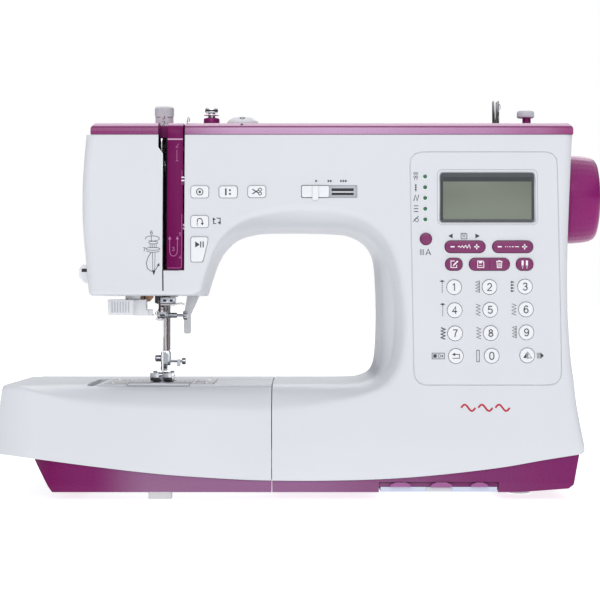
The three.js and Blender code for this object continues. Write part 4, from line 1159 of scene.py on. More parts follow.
# ---------------------------------------------------------------- buttons and keys
def icon(name, cx, cz, s):
    """Strokes of a small symbol round (cx, cz); s is the surface."""
    o = []
    def R(pts, w=0.62, closed=False):
        o.append(ribbon([(cx + a, cz + b) for a, b in pts], w, s, 0.06, closed))
    def D(a, b, r):
        o.append(disc((cx + a, cz + b), r, s, 0.06))
    def F(pts):
        o.append(patch([(cx + a, cz + b) for a, b in pts], s, 0.06))
    if name == "target":
        R(circ((0, 0), 2.25, 28), 0.6, True); D(0, 0, 0.95)
    elif name == "position":
        R([(-1.7, 2.4), (-1.7, -2.4)], 1.1); D(1.2, 1.2, 0.72); D(1.2, -1.4, 0.72)
    elif name == "scissors":
        R([(-3.2, 1.7), (1.3, -1.1)], 0.7); R([(-3.2, -1.7), (1.3, 1.1)], 0.7)
        R(circ((2.3, 1.4), 1.05, 16), 0.55, True); R(circ((2.3, -1.4), 1.05, 16), 0.55, True)
    elif name == "reverse":
        R([(-1.6, -0.6), (-1.6, 0.4)] + circ((0.1, 0.5), 1.75, 12, 175, 0) + [(1.85, -1.2)], 0.62)
        F([(0.7, -0.9), (3.0, -0.9), (1.85, -2.7)]); D(-1.7, -1.4, 0.35); D(-1.7, -2.4, 0.35)
    elif name == "play":
        F([(-2.9, 2.2), (-2.9, -2.2), (0.3, 0)]); R([(1.0, 2.1), (1.0, -2.1)], 0.8); R([(2.7, 2.1), (2.7, -2.1)], 0.8)
    elif name == "width":
        R([(-10.3, 0), (-7.4, 0)], 0.85)
        R([(-5.2, -0.2), (-4.2, 0.5), (-3.2, -0.5), (-2.0, 0.7), (-1.0, -0.7), (0.3, 1.0), (1.4, -0.9), (2.8, 1.5), (3.7, -1.2)], 0.5)
        R([(6.3, 0), (9.9, 0)], 0.85); R([(8.1, 1.8), (8.1, -1.8)], 0.85)
    elif name == "length":
        R([(-10.6, 0), (-7.7, 0)], 0.85)
        for a, b in ((-5.4, -4.8), (-4.0, -3.3), (-2.5, -1.5), (-0.7, 0.7), (1.5, 4.3)):
            R([(a, 0), (b, 0)], 0.5)
        R([(6.5, 0), (10.1, 0)], 0.85); R([(8.3, 1.8), (8.3, -1.8)], 0.85)
    elif name == "edit":
        R([(0.6, 2.3), (-2.1, 2.3), (-2.1, -2.3), (1.9, -2.3), (1.9, -0.4)], 0.5)
        R([(-0.2, -0.6), (2.7, 2.2)], 0.95); F([(-0.9, -1.5), (0.1, -0.9), (-0.4, -0.2)])
    elif name == "memory":
        c = -6.2
        R([(c - 2.1, 2.3), (c + 1.5, 2.3), (c + 2.2, 1.5), (c + 2.2, -2.3), (c - 2.1, -2.3)], 0.5, True)
        F([(c - 1.2, 2.2), (c + 1.0, 2.2), (c + 1.0, 0.7), (c - 1.2, 0.7)]); R([(c - 1.2, -0.8), (c + 1.2, -0.8)], 0.4)
        c = 6.9
        R([(c - 2.2, 2.0), (c + 2.2, 2.0)], 0.5); R([(c - 0.8, 2.5), (c + 0.8, 2.5)], 0.5)
        R([(c - 1.7, 1.7), (c - 1.4, -2.4), (c + 1.4, -2.4), (c + 1.7, 1.7)], 0.5)
        for a in (-0.7, 0, 0.7):
            R([(c + a, 1.1), (c + a, -1.9)], 0.32)
    elif name == "twin":
        for c in (-1.5, 1.5):
            F([(c - 0.75, 2.6), (c + 0.75, 2.6), (c + 0.75, -0.6), (c - 0.75, -0.6)])
            R([(c, -0.6), (c, -2.9)], 0.5); F([(c - 0.85, -0.9), (c + 0.85, -0.9), (c, -2.3)])
    elif name == "back":
        R([(2.6, 1.2), (-0.8, 1.2)], 0.5); R([(2.6, 1.2), (2.6, -1.5), (-2.4, -1.5)], 0.5)
        F([(-0.6, 2.4), (-0.6, 0.0), (-2.8, 1.2)])
    elif name == "mirror":
        F([(-0.5, 2.0), (-0.5, -1.8), (-3.0, -1.8)]); R([(0.5, 2.0), (0.5, -1.8), (3.0, -1.8)], 0.4, True)
        R([(0, 2.8), (0, -2.6)], 0.28)
    return o


LOOKS = {"needle_updown_button": ("white_key", "target", "print", 0), "needle_position_button": ("white_key", "position", "print", 0),
         "thread_cut_button": ("white_key", "scissors", "print", 0), "reverse_button": ("white_key", "reverse", "print", 0),
         "width_rocker": ("magenta_key", "width", "print_white", 0), "length_rocker": ("magenta_key", "length", "print_white", 0),
         "edit_button": ("magenta_key", "edit", "print_white", 0), "memory_rocker": ("magenta_key", "memory", "print_white", 0),
         "twin_needle_button": ("magenta_key", "twin", "print_white", 0)}
for name, (x0, z0, x1, z1, r) in CONTROLS.items():
    mat, ic, im, _ = LOOKS[name]
    yy = fy((z0 + z1) / 2)
    rr = r
    me = rprism(round_rect(x0, z0, x1, z1, rr, 7), yy - 1.0, yy + 4, "y", 0.55, 3)
    ob = add("btn_" + name, me, M[mat], name, 30)
    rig.replaces(ob, name)
    ink("icon_" + name, icon(ic, (x0 + x1) / 2, (z0 + z1) / 2, flat(yy - 1.0)), M[im], name)
    if "rocker" in name:
        me = rprism([( (x0 + x1) / 2 - 0.12, z0 + 1.0), ((x0 + x1) / 2 + 0.12, z0 + 1.0), ((x0 + x1) / 2 + 0.12, z1 - 1.0),
                     ((x0 + x1) / 2 - 0.12, z1 - 1.0)], yy - 1.04, yy - 0.9, "y", 0.02, 1) if name == "memory_rocker" else None
        if me:
            add("line_" + name, me, M["magenta_shade_and_joint"], name)
yy = fy(176)
me = rprism(fillet(START, 1.8, 5), yy - 1.0, yy + 4, "y", 0.6, 3)
ob = add("btn_start_stop", me, M["white_key"], "start_stop_button", 30)
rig.replaces(ob, "start_stop_button")
ink("icon_start_stop", icon("play", -72.4, 179.6, flat(yy - 1.0)), M["print"], "start_stop_button")

for name, (x, z) in KEYS.items():
    r = 4.1 if name == "mode_button" else 5.1
    yy = fy(z)
    b = 0.55
    prof = [(0, yy - 0.86), (r * 0.5, yy - 0.90), (r - 1.2, yy - 1.0)] if name != "mode_button" else \
        [(0, yy - 1.25), (r * 0.5, yy - 1.2), (r - 1.0, yy - 1.05)]
    prof += [(r - b, yy - 1.0), (r - b * 0.3, yy - 0.85), (r, yy - 0.45), (r, yy + 4), (0, yy + 4)]
    me = lathe(prof, (x, 0, z), "y", 48)
    ob = add("cap_" + name, me, M["magenta_key" if name == "mode_button" else "white_key"], name, 40)
    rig.replaces(ob, name)
    s = flat(yy - 0.93)
    if name[-1].isdigit():
        ink("num_" + name, digit(name[-1], (x, z), 5.0, 0.66, s, 0.1), M["print"], name)
    elif name == "key_back":
        ink("num_" + name, icon("back", x, z, s), M["print"], name)
    elif name == "key_mirror":
        ink("num_" + name, icon("mirror", x, z, s), M["print"], name)

# speed slider knob
yy = fy(217)
me = join("kn", [rprism(round_rect(-0.4, 213, 18.6, 221, 1, 4), yy - 0.6, yy + 2, "y", 0.35, 2),
                 rprism(round_rect(7, 210.9, 11.3, 221, 0.9, 4), yy - 2.4, yy - 0.55, "y", 0.5, 3)])
ob = add("slider_knob", me, M["white_key"], "speed_slider", 30)
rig.replaces(ob, "speed_slider")
add("slider_bed", rprism(round_rect(-0.8, 212.5, 38.6, 221.5, 1.1, 4), yy + 2.15, yy + 2.38, "y", 0.02, 1), M["grey"])
# dark strip for the slot the knob runs in: painted shade
add("slider_gap", join("sg", [rbox(20.6, 36.2, yy + 2.09, yy + 2.16, 214.6, 219.4, 0.01, 1)]), M["dark"])
add("slider_rule", rbox(20.6, 36.2, yy + 2.03, yy + 2.085, 216.3, 217.3, 0.01, 1), M["pale_grey"])

# ---------------------------------------------------------------- print on the front
p = []
F2 = fy
for c, k in (((9.93, 224.45), 1), ((19.44, 224.45), 2), ((29.16, 224.45), 3)):
    for i in range(k):
        o = (i - (k - 1) / 2) * 1.7
        p.append(patch([(c[0] + o - 0.8, c[1] + 1.0), (c[0] + o - 0.8, c[1] - 1.0), (c[0] + o + 0.8, c[1])], F2))
# reverse mark beside its key
c = (-60.09, 196.17)
p.append(ribbon([(c[0] - 2.4, c[1] + 2.2), (c[0] - 2.4, c[1] - 1.8), (c[0] - 0.6, c[1] - 1.8)], 0.6, F2))
p.append(patch([(c[0] - 2.9, c[1] + 2.5), (c[0] - 2.9, c[1] + 0.2), (c[0] - 0.9, c[1] + 1.2)], F2))
p.append(ribbon([(c[0] - 0.2, c[1] + 2.0), (c[0] + 2.2, c[1] + 2.0), (c[0] + 2.2, c[1] - 0.4)], 0.6, F2))
p.append(patch([(c[0] + 2.6, c[1] - 2.6), (c[0] + 2.6, c[1] + 0.1), (c[0] + 0.4, c[1] - 1.1)], F2))
# small symbols left of the lamps
c = (79.91, 227.64)
for i in range(2):
    p.append(ribbon(circ((c[0] - 0.8 + 1.6 * i, c[1] + 2.2), 0.7, 10), 0.3, F2, 0.12, True))
    p.append(ribbon(circ((c[0] - 0.8 + 1.6 * i, c[1] - 0.2), 0.7, 10), 0.3, F2, 0.12, True))
    p.append(ribbon([(c[0] - 0.8 + 1.6 * i, c[1] - 1.0), (c[0] - 0.8 + 1.6 * i, c[1] - 2.6)], 0.3, F2))
c = (79.87, 219.85)
p.append(ribbon([(c[0], c[1] + 2.4), (c[0], c[1] - 2.8)], 0.4, F2))
for dz in (1.6, 0, -1.6):
    p.append(disc((c[0], c[1] + dz), 0.62, F2))
c = (79.98, 212.42)
p.append(ribbon([(c[0] - 1.6, c[1] - 2), (c[0] - 0.4, c[1] + 2.2), (c[0] + 0.8, c[1] - 2), (c[0] + 2.0, c[1] + 2.2)], 0.55, F2))
c = (79.94, 204.86)
for dz in (-2, 0, 2):
    p.append(ribbon([(c[0] - 1.5, c[1] + dz), (c[0] + 1.6, c[1] + dz)], 0.5, F2))
c = (79.91, 197.23)
p.append(ribbon([(c[0] - 1.9, c[1] - 1.6), (c[0] - 0.6, c[1] + 0.4), (c[0] + 1.8, c[1] + 2.2)], 0.5, F2))
p.append(ribbon(circ((c[0] + 0.6, c[1] - 0.4), 1.2, 12), 0.35, F2, 0.12, True))
# below the mode key
c = (86.14, 174.19)
for i in range(3):
    p.append(ribbon([(c[0] - 3.3 + 1.1 * i, c[1] + 2.1), (c[0] - 3.3 + 1.1 * i, c[1] - 2.1)], 0.4, F2))
p.append(ribbon([(c[0] + 0.6, c[1] - 2.1), (c[0] + 2.3, c[1] + 2.2), (c[0] + 4.0, c[1] - 2.1)], 0.55, F2))
p.append(ribbon([(c[0] + 1.2, c[1] - 0.6), (c[0] + 3.4, c[1] - 0.6)], 0.4, F2))
# arrows and card above the rockers
c = (104.11, 185.6)
p.append(patch([(c[0] + 1.5, c[1] + 1.7), (c[0] - 1.6, c[1]), (c[0] + 1.5, c[1] - 1.7)], F2))
c = (123.1, 185.6)
p.append(patch([(c[0] - 1.5, c[1] + 1.7), (c[0] - 1.5, c[1] - 1.7), (c[0] + 1.6, c[1])], F2))
c = (113.54, 185.6)
p.append(ribbon([(c[0] - 2, c[1] + 1.9), (c[0] + 1.5, c[1] + 1.9), (c[0] + 2.1, c[1] + 1.3), (c[0] + 2.1, c[1] - 2), (c[0] - 2, c[1] - 2)], 0.42, F2, 0.12, True))
p.append(ribbon([(c[0] - 1.1, c[1] - 0.5), (c[0] + 1.1, c[1] - 0.5)], 0.4, F2))
p.append(ribbon([(c[0] - 1, c[1] + 1.6), (c[0] - 1, c[1] + 0.6), (c[0] + 0.8, c[1] + 0.6), (c[0] + 0.8, c[1] + 1.6)], 0.35, F2))
# stitch symbols left of the keys
def stitch(kind, c):
    x, z = c
    if kind == "line":
        for i in range(6):
            p.append(ribbon([(x, z + 4.3 - i * 1.5), (x, z + 3.5 - i * 1.5)], 0.45, F2))
        p.append(ribbon([(x - 1.2, z + 4.4), (x + 1.2, z + 4.4)], 0.35, F2))
    elif kind == "tee":
        p.append(ribbon([(x - 1.7, z + 4.2), (x + 1.7, z + 4.2)], 0.5, F2)); p.append(disc((x, z + 4.2), 0.8, F2))
        for i in range(5):
            p.append(ribbon([(x, z + 3.0 - i * 1.5), (x, z + 2.1 - i * 1.5)], 0.5, F2))
    elif kind == "zig":
        p.append(ribbon([(x + (1.5 if i % 2 else -1.5), z + 4 - i * 1.15) for i in range(8)], 0.42, F2))
    elif kind == "bold":
        p.append(ribbon([(x + (1.4 if i % 2 else -1.4), z + 4 - i * 1.15) for i in range(8)], 0.85, F2))
    elif kind == "over":
        for i in range(4):
            zz = z + 3.4 - i * 2.1
            p.append(ribbon([(x - 1.5, zz), (x + 1.3, zz + 0.9), (x + 1.3, zz - 0.9)], 0.36, F2, 0.12, True))
    elif kind == "tri":
        for i in range(4):
            zz = z + 3.2 - i * 2.1
            p.append(patch([(x - 1.5, zz + 0.8), (x - 1.5, zz - 0.8), (x + 1.3, zz)], F2))
    elif kind == "box":
        p.append(ribbon([(x - 4.4, z + 2), (x + 4.2, z + 2), (x + 4.2, z - 2), (x - 4.4, z - 2)], 0.4, F2, 0.12, True))
        p.append(patch([(x - 3.6, z + 1.2), (x - 1.2, z + 1.2), (x - 1.2, z - 1.2), (x - 3.6, z - 1.2)], F2))
        p.append(ribbon(circ((x + 0.6, z), 1.0, 10), 0.35, F2, 0.12, True)); p.append(patch([(x + 2.3, z + 1.1), (x + 3.5, z), (x + 2.3, z - 1.1)], F2))
    elif kind == "bar":
        p.append(ribbon([(x - 0.9, z + 4), (x + 0.9, z + 4), (x + 0.9, z - 4), (x - 0.9, z - 4)], 0.4, F2, 0.12, True))
    elif kind == "arrows":
        p.append(patch([(x + 0.1, z + 2.2), (x + 0.1, z - 2.2), (x + 2.4, z)], F2))
        for i in range(3):
            p.append(ribbon([(x - 2.2 + i * 0.9, z + 2), (x - 2.2 + i * 0.9, z - 2)], 0.35, F2))
KIND = ["tee", "over", "tri", "tee", "zig", "zig", "bold", "zig", "over"]
for i, (kx, kz) in enumerate([(106.5, 149.6), (131.3, 149.7), (156.2, 150), (106.8, 133.4), (131.7, 133.7), (156.8, 134), (107, 117.2), (132, 117.4), (157, 117.9)]):
    stitch(KIND[i], (kx - 8.4, kz))
stitch("box", (95.28, 101.36)); stitch("bar", (123.03, 101.36)); stitch("arrows", (166.75, 101.64))
ink("print_panel", p, M["print"])

# lamps
vs = []
lamps = []
for py_z in (227.64, 219.99, 212.42, 204.79, 197.3):
    yl = fy(py_z)
    lamps.append(lathe([(0, yl - 0.55), (0.8, yl - 0.5), (1.35, yl - 0.2), (1.5, yl + 0.6), (0, yl + 0.6)], (86.44, 0, py_z), "y", 20))
add("lamps", join("l", lamps), M["led"])
rims = [lathe([(1.5, yl_ - 0.12), (1.5, yl_ - 0.2), (1.85, yl_ - 0.2), (1.95, yl_ + 0.1)], (86.44, 0, z_), "y", 20)
        for z_, yl_ in [(q, fy(q)) for q in (227.64, 219.99, 212.42, 204.79, 197.3)]]
add("lamp_rims", join("lr", rims), M["white_key"])

# display: dull glass, dark surround with a painted shadow along the top
yl = fy(213)
ob = add("display_glass", rbox(98.1, 162.5, yl + 1.5, yl + 4.4, 196.5, 229.5, 0.3, 2), M["lcd"])
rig.replaces(ob, "lcd_window")
frame_o, frame_i = round_rect(97.5, 195.9, 163.1, 230.1, 1.5), round_rect(99.1, 197.6, 161.5, 227.0, 0.9)
n = len(frame_o)
v = [(a, yl + 0.9, b) for a, b in frame_o] + [(a, yl + 1.45, b) for a, b in frame_i]
dk = plastic("m_lcd_frame", (0.045, 0.05, 0.06), 0.35, 0.1, 1300, 0.03, 0.5)
add("display_frame", to_mesh("df", v, [[i, (i + 1) % n, n + (i + 1) % n, n + i] for i in range(n)]), dk)
# painted shadow under the top of the display recess
add("display_shade", rbox(99.2, 161.4, yl + 1.3, yl + 1.48, 224.2, 227.2, 0.05, 1), plastic("m_shade", (0.03, 0.035, 0.04), 0.4, 0.1, 900, 0.02, 0.4))
outer = round_rect(95.0, 193.5, 165.6, 232.5, 3.6)
ring_w = []
p = [ribbon(outer, 0.35, F2, 0.06, True)]
ink("display_rim", p, M["print_light"])
# generic mark on the lower front
c0 = (127.13, 65.12)
p = []
for i in range(3):
    xx = c0[0] - 16 + i * 12
    p.append(ribbon([(xx + 10 * t, c0[1] + 2.2 * math.sin(2 * math.pi * t)) for t in np.linspace(0, 1, 16)], 1.3, F2))
ink("mark_wave", p, M["mark"])

# ---------------------------------------------------------------- thread slot cover
prof = [(z, fy(z) - 0.9) for z in np.linspace(162, 250, 12)]
pts = [(y_, z_) for z_, y_ in prof] + [(-87.9, 257.5), (-87.4, 261.0), (-86.2, 263.8), (-82.6, 265.8), (-78, 266.3), (-59, 266.35), (-59, 265.2),
       (-82, 264.7), (-84.9, 262.6), (-86.0, 260), (-86.4, 257)] + [(y_ + 1.7, z_) for z_, y_ in prof[::-1]]
me = prism("tc", pts, -95.3, -84.1, "x")
bm = bmesh.new(); bm.from_mesh(me)
bmesh.ops.dissolve_limit(bm, angle_limit=0.001, verts=bm.verts, edges=bm.edges)
lo_x, hi_x = -95.3 * MM, -84.1 * MM
es = [e for e in bm.edges if abs(e.verts[0].co.x - e.verts[1].co.x) < 1e-7]
bmesh.ops.bevel(bm, geom=es, offset=0.45 * MM, segments=2, profile=0.5, affect="EDGES", clamp_overlap=True)
bm.to_mesh(me); bm.free()
ob = add("slot_cover", me, None, "root", 40)
assign(me, [M["magenta_shade_and_joint"], M["lilac"], M["magenta"]])
# top rounded edge of the cover in the painted highlight colour; the rest in the darker magenta as painted shade
for q in me.polygons:
    c = q.center / MM
    if c.z > 263.2 and q.normal.z > 0.2 and c.y < -75:
        q.material_index = 1
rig.replaces(ob, "thread_slot_cover")
# side walls of the cover reaching back into the channel, darker magenta as painted shade
sw = []
for xa, xb in ((-95.0, -93.9), (-85.5, -84.4)):
    pp = [(y_ + 0.9, z_) for z_, y_ in prof] + [(-86.9, 257.5), (-84, 264), (-78, 265.2), (-62, 265.2), (-62, 255), (-72, 240), (-76, 200), (-80, 164), (-90, 163)]
    sw.append(prism("s", pp, xa, xb, "x"))
add("slot_cover_sides", join("sw", sw), M["magenta_shade_and_joint"])
# ridge below the band in the painted highlight colour, raised marks
zz = 254.04
add("slot_ridge", rprism([(fy(zz) - 1.35, zz - 0.5), (fy(zz) - 1.35, zz + 0.5), (fy(zz), zz + 0.7), (fy(zz), zz - 0.7)], -95.0, -84.4, "x", 0.05, 1), M["lilac"])
sc = lambda z: fy(z) - 0.9
p = digit("2", (-88.37, 249.79), 3.0, 0.34, sc, 0.05)
p.append(ribbon([(-88.5, 246.45), (-88.45, 238.63)], 0.3, sc, 0.05)); p.append(ribbon([(-89.29, 238.63), (-87.32, 238.63)], 0.3, sc, 0.05))
ua, ub = -93.22, -87.86
za, zb = 183.61, 171.27
p.append(ribbon([(ua, za), (ua, zb + 3.2), (ua + 0.7, zb + 1.2), (ua + 2.0, zb + 0.2), (ub - 2.0, zb + 0.2), (ub - 0.7, zb + 1.2), (ub, zb + 3.2), (ub, za)], 0.36, sc, 0.05))
for u_ in (ua, ub):
    p.append(patch([(u_ - 1.1, za - 0.4), (u_ + 1.1, za - 0.4), (u_, za + 1.8)], sc, 0.05))
p += digit("3", ((ua + ub) / 2 - 0.2, (za + zb) / 2 - 1.0), 2.6, 0.30, sc, 0.05)
p += digit("4", (ub + 1.9, zb - 0.6), 2.0, 0.28, sc, 0.05)
p += digit("5", (ub + 1.9, za + 3.4), 2.0, 0.28, sc, 0.05)
# painted highlight along the bottom and the right edge of the cover
p.append(ribbon([(-94.6, 163.1), (-85.7, 163.1), (-84.9, 164.2), (-84.8, 190), (-84.8, 232)], 0.26, sc, 0.05))
# the raised marks and the painted edge highlight share one lighter magenta
ink("slot_marks", p, plastic("m_emboss_and_edge_highlight", (0.42, 0.12, 0.32), 0.35, 0.03, 1300, 0.02, 0.5))

# channel lining: dark walls behind the cover as painted shade, metal tension parts and pale guides
add("channel_back", rbox(-98.4, -83.2, -60.4, -59.4, 162, 257, 0.2, 1), M["inside"])
td = []
td.append(rbox(-84.9, -84.3, -84.5, -62, 236, 262.5, 0.2, 1))
td.append(cyl((-85.0, -74, 228), (-84.5, -74, 228), 9.5, 32)); td.append(cyl((-84.2, -74, 228), (-83.8, -74, 228), 9.5, 32))
add("tension_discs", join("td", td), M["steel"])
add("channel_tabs", join("tb", [rbox(-85.2, -83.1, -90.5, -86, z0, z1, 0.15, 1) for z0, z1 in ((226.53, 227.51), (224.27, 225.26), (192.72, 194.13), (190.32, 191.59))]), M["white_key"])
add("channel_bars", join("tb", [rbox(-84.9, -83.3, -84, -80, z0, z1, 0.1, 1) for z0, z1 in ((227.79, 237.44), (194.13, 202.58))]), M["dark"])
# bevelled pale edge at the left of the channel
pp = [(-98.55, 243.9), (-98.55, 161.4), (-99.25, 161.2), (-99.35, 243.8), (-102.5, 248.4), (-101.8, 248.6)]
add("channel_edge", to_mesh("ce", [(a, fy(b) + o, b) for o in (-0.18, 0.6) for a, b in pp],
                            [[0, 1, 2, 3], [3, 4, 5, 0], [6, 7, 8, 9], [9, 10, 11, 6]] + [[i, (i + 1) % 6, 6 + (i + 1) % 6, 6 + i] for i in range(6)]), M["white_key"])
# seam below the channel
ink("seam_head", [ribbon([(-98.1, 162.4), (-97.9, 147.0)], 0.95, F2, 0.05), ribbon([(-97.8, 161.6), (-87.0, 161.6), (-85.2, 162.2)], 0.7, F2, 0.05)], M["dark"])
# little wire guide on the top
add("wire_guide", tube([(-82.0, -79, 262), (-81.6, -79, 268.5), (-81.0, -79, 270.5), (-80.2, -79, 269.6), (-80.4, -79, 267.2)], 0.35, 8), M["steel"])

# ---------------------------------------------------------------- take-up lever
lv = [[(-12, 226), (-16, 226), (-50, 241.5), (-51.5, 238), (-14, 218.5), (-12, 218)],
      [(-48.2, 241), (-48.2, 237.6), (-52, 237.6), (-66.5, 242.5), (-74, 245.5), (-76.2, 249), (-76.2, 254.4), (-74, 256), (-71.3, 254.4), (-70.6, 250), (-64, 247.2)]]
me = join("tl", [rprism(lv[0], -97.8, -95.8, "x", 0.3, 2), rprism(fillet(lv[1], 1.2, 4), -101.3, -99.6, "x", 0.35, 2),
                 rbox(-101.3, -95.8, -51.4, -48.2, 237.6, 241, 0.3, 2), cyl((-97.8, -12, 222), (-92, -12, 222), 4, 28, bevel=0.3)])
ob = add("lever_takeup", me, M["chrome"], "take_up_lever")
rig.replaces(ob, "take_up_lever")

# ---------------------------------------------------------------- handwheel
HW = (0, -18, 215.2)
prof = [(0, 191.5), (29.4, 191.5), (31.6, 192.3), (32.4, 194.0), (32.7, 196.6), (32.65, 200.5), (32.3, 204.8), (31.8, 209.0), (31.0, 212.6), (29.6, 215.4), (27.4, 216.9), (24.4, 217.6),
        (24.0, 216.9), (21.0, 216.5), (20.4, 217.4), (17.5, 218.5), (12, 219.3), (6, 219.75), (0, 219.9)]
v, f = [], []
N = 144
for i in range(N):
    a = 2 * math.pi * i / N
    flute = 0.5 * (1 - math.cos(36 * a))
    for r, h in prof:
        k = 1.0
        if r > 27 and h > 196.5 and h < 214:
            r = r - 0.16 * flute
        v.append((h, HW[1] + r * math.cos(a), HW[2] + r * math.sin(a)))
m_ = len(prof)
for i in range(N):
    j = (i + 1) % N
    for k in range(m_ - 1):
        f.append([i * m_ + k, j * m_ + k, j * m_ + k + 1, i * m_ + k + 1])
me = to_mesh("hw", v, f)
# finger dimple in the outer face
me = boolean(me, [lathe([(0, 215.2), (4.5, 215.8), (6.6, 217.2), (7.2, 221), (0, 221)], (0, -18 - 13, 215.2 + 7), "x", 32)])
ob = add("wheel", me, M["magenta"], "handwheel", 32)
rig.replaces(ob, "handwheel")
add("wheel_hub", lathe([(0, 189.6), (14, 189.6), (14.6, 190.2), (14.6, 191.7), (0, 191.7)], (0, -18, 215.2), "x", 40), M["dark"], "handwheel")
sh = join("sh", [cyl((-88, -18, 215.2), (191.1, -18, 215.2), 4.8, 28), cyl((-90, -18, 215.2), (-83, -18, 215.2), 12.8, 36, bevel=0.5),
                 lathe([(4.8, 160), (21, 160), (22, 160.6), (22, 162.2), (20.4, 162.8), (20.4, 167.2), (22, 167.8), (22, 169.4), (21, 170), (4.8, 170)], (0, -18, 215.2), "x", 48)])
ob = add("shaft", sh, M["steel_x"], "handwheel")
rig.replaces(ob, "main_shaft")

# ---------------------------------------------------------------- knobs on the top
prof = [(0, 266.8), (6.7, 266.8), (6.7, 277.0)]
v, f = [], []
cols = 72
rows = [(6.55, 266.8, 0), (6.7, 267.1, 0), (6.7, 276.6, 0), (6.9, 277.0, 0), (7.1, 277.3, 1), (7.1, 282.2, 1), (6.95, 283.2, 0), (6.2, 284.1, 0), (4.0, 284.9, 0), (0.0, 285.4, 0)]
for i in range(cols * 2):
    a = math.pi * i / cols
    for r, z, kn in rows:
        rr = r - (0.32 if (kn and i % 4 in (2, 3)) else 0)
        v.append((-102.5 + rr * math.cos(a), -17 + rr * math.sin(a), z))
m_ = len(rows)
for i in range(cols * 2):
    j = (i + 1) % (cols * 2)
    for k in range(m_ - 1):
        f.append([i * m_ + k, j * m_ + k, j * m_ + k + 1, i * m_ + k + 1])
f.append([i * m_ for i in range(cols * 2)][::-1])
pd = join("pd", [to_mesh("pd", v, f), cyl((-102.5, -17, 250), (-102.5, -17, 267), 2.6, 20)])
ob = add("dial_pressure", pd, M["white_key"], "pressure_dial", 30)
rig.replaces(ob, "pressure_dial")


def wrap(parts, cx, cy, r, mat, name, body):
    """Print wrapped round a vertical cylinder; parts drawn in (arc length, z)."""
    vs, fs = [], []
    for v_, f_ in parts:
        o = len(vs)
        for a, _, z in v_:
            w = a / r - math.pi / 2
            vs.append((cx + (r + 0.05) * math.cos(w), cy + (r + 0.05) * math.sin(w), z))
        fs += [[i + o for i in q] for q in f_]
    me_ = bpy.data.meshes.new(name)
    me_.from_pydata((np.array(vs) * MM).tolist(), [], fs)
    return add(name, me_, mat, body)


p = []
zero = lambda z: 0.0
for zt, ch in ((276.0, "3"), (271.4, "2"), (268.0, "1")):
    for a0, a1 in ((-8.0, -2.6), (2.6, 8.0)):
        p.append(ribbon([(a0 + (a1 - a0) * t, zt) for t in np.linspace(0, 1, 8)], 0.42, zero, 0))
    if zt > 268.5:
        p += digit(ch, (0.0, zt), 3.0, 0.42, zero, 0)
for i in range(-9, 10):
    p.append(ribbon([(i * 1.02, 274.9), (i * 1.02, 274.2)], 0.12, zero, 0))
wrap(p[:-19], -102.5, -17, 6.72, M["print"], "dial_pressure_marks", "pressure_dial")
# grey lines over the knurl: painted shade between its ribs
tw = plastic("m_knurl_shade_line", (0.45, 0.46, 0.5), 0.5, 0.03, 1300, 0.02, 0.3)
p = [ribbon([(i * 0.82, 282.6), (i * 0.82, 277.8)], 0.22, zero, 0) for i in range(-27, 28)]
wrap(p, -102.5, -17, 7.08, tw, "dial_pressure_knurl", "pressure_dial")

ob = add("dial_tension", lathe([(0, 266.8), (11.2, 266.8), (11.25, 267.4), (10.9, 268.3), (9.9, 269.7), (8.4, 270.9), (6.0, 271.9), (3.2, 272.5), (0, 272.8)], (-42.8, -62, 0), "z", 56),
         M["white_key"], "tension_dial", 40)
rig.replaces(ob, "tension_dial")
add("dial_tension_grips", join("g", [rbox(-0.35, 0.35, 10.2, 11.5, 266.9, 268.4, 0.15, 1) for i in range(24)]) if False else
    join("g", [cyl((-42.8 + 11.1 * math.cos(i * math.pi / 12), -62 + 11.1 * math.sin(i * math.pi / 12), 266.9),
                   (-42.8 + 10.6 * math.cos(i * math.pi / 12), -62 + 10.6 * math.sin(i * math.pi / 12), 268.6), 0.45, 8) for i in range(24)]), M["white_key"], "tension_dial")
def dome(x, y):
    r = math.hypot(x + 42.8, y + 62)
    return float(np.interp(r, [0, 3.2, 6.0, 8.4, 9.9, 10.9, 11.25], [272.8, 272.5, 271.9, 270.9, 269.7, 268.3, 267.4])) + 0.06
def dome_line(name, pts, w, mat):
    vs, fs = [], []
    P = [Vector(q) for q in pts]
    for i, q in enumerate(P):
        d = (P[min(i + 1, len(P) - 1)] - P[max(i - 1, 0)]).normalized()
        nn = Vector((-d.y, d.x)) * w / 2
        for s_ in (1, -1):
            u = q + nn * s_
            vs.append((u.x, u.y, dome(u.x, u.y)))
        if i:
            fs.append([2 * i - 2, 2 * i - 1, 2 * i + 1, 2 * i])
    return add(name, to_mesh(name, vs, fs), mat, "tension_dial")
dome_line("dial_tension_arc", [(-42.8 + 8.2 * math.cos(a), -62 + 8.2 * math.sin(a)) for a in np.linspace(-2.6, -0.54, 24)], 0.5, M["print_light"])
dome_line("dial_tension_icon", [(-42.8 + 1.6 * math.cos(a), -70.4 + 1.2 * math.sin(a)) for a in np.linspace(0, 6.28, 18)], 0.7, M["print"])
ink("tension_pointer", [patch([(-43.9, 264.0), (-41.6, 264.0), (-42.75, 265.6)], flat(-86.9), 0.3)], M["print"])

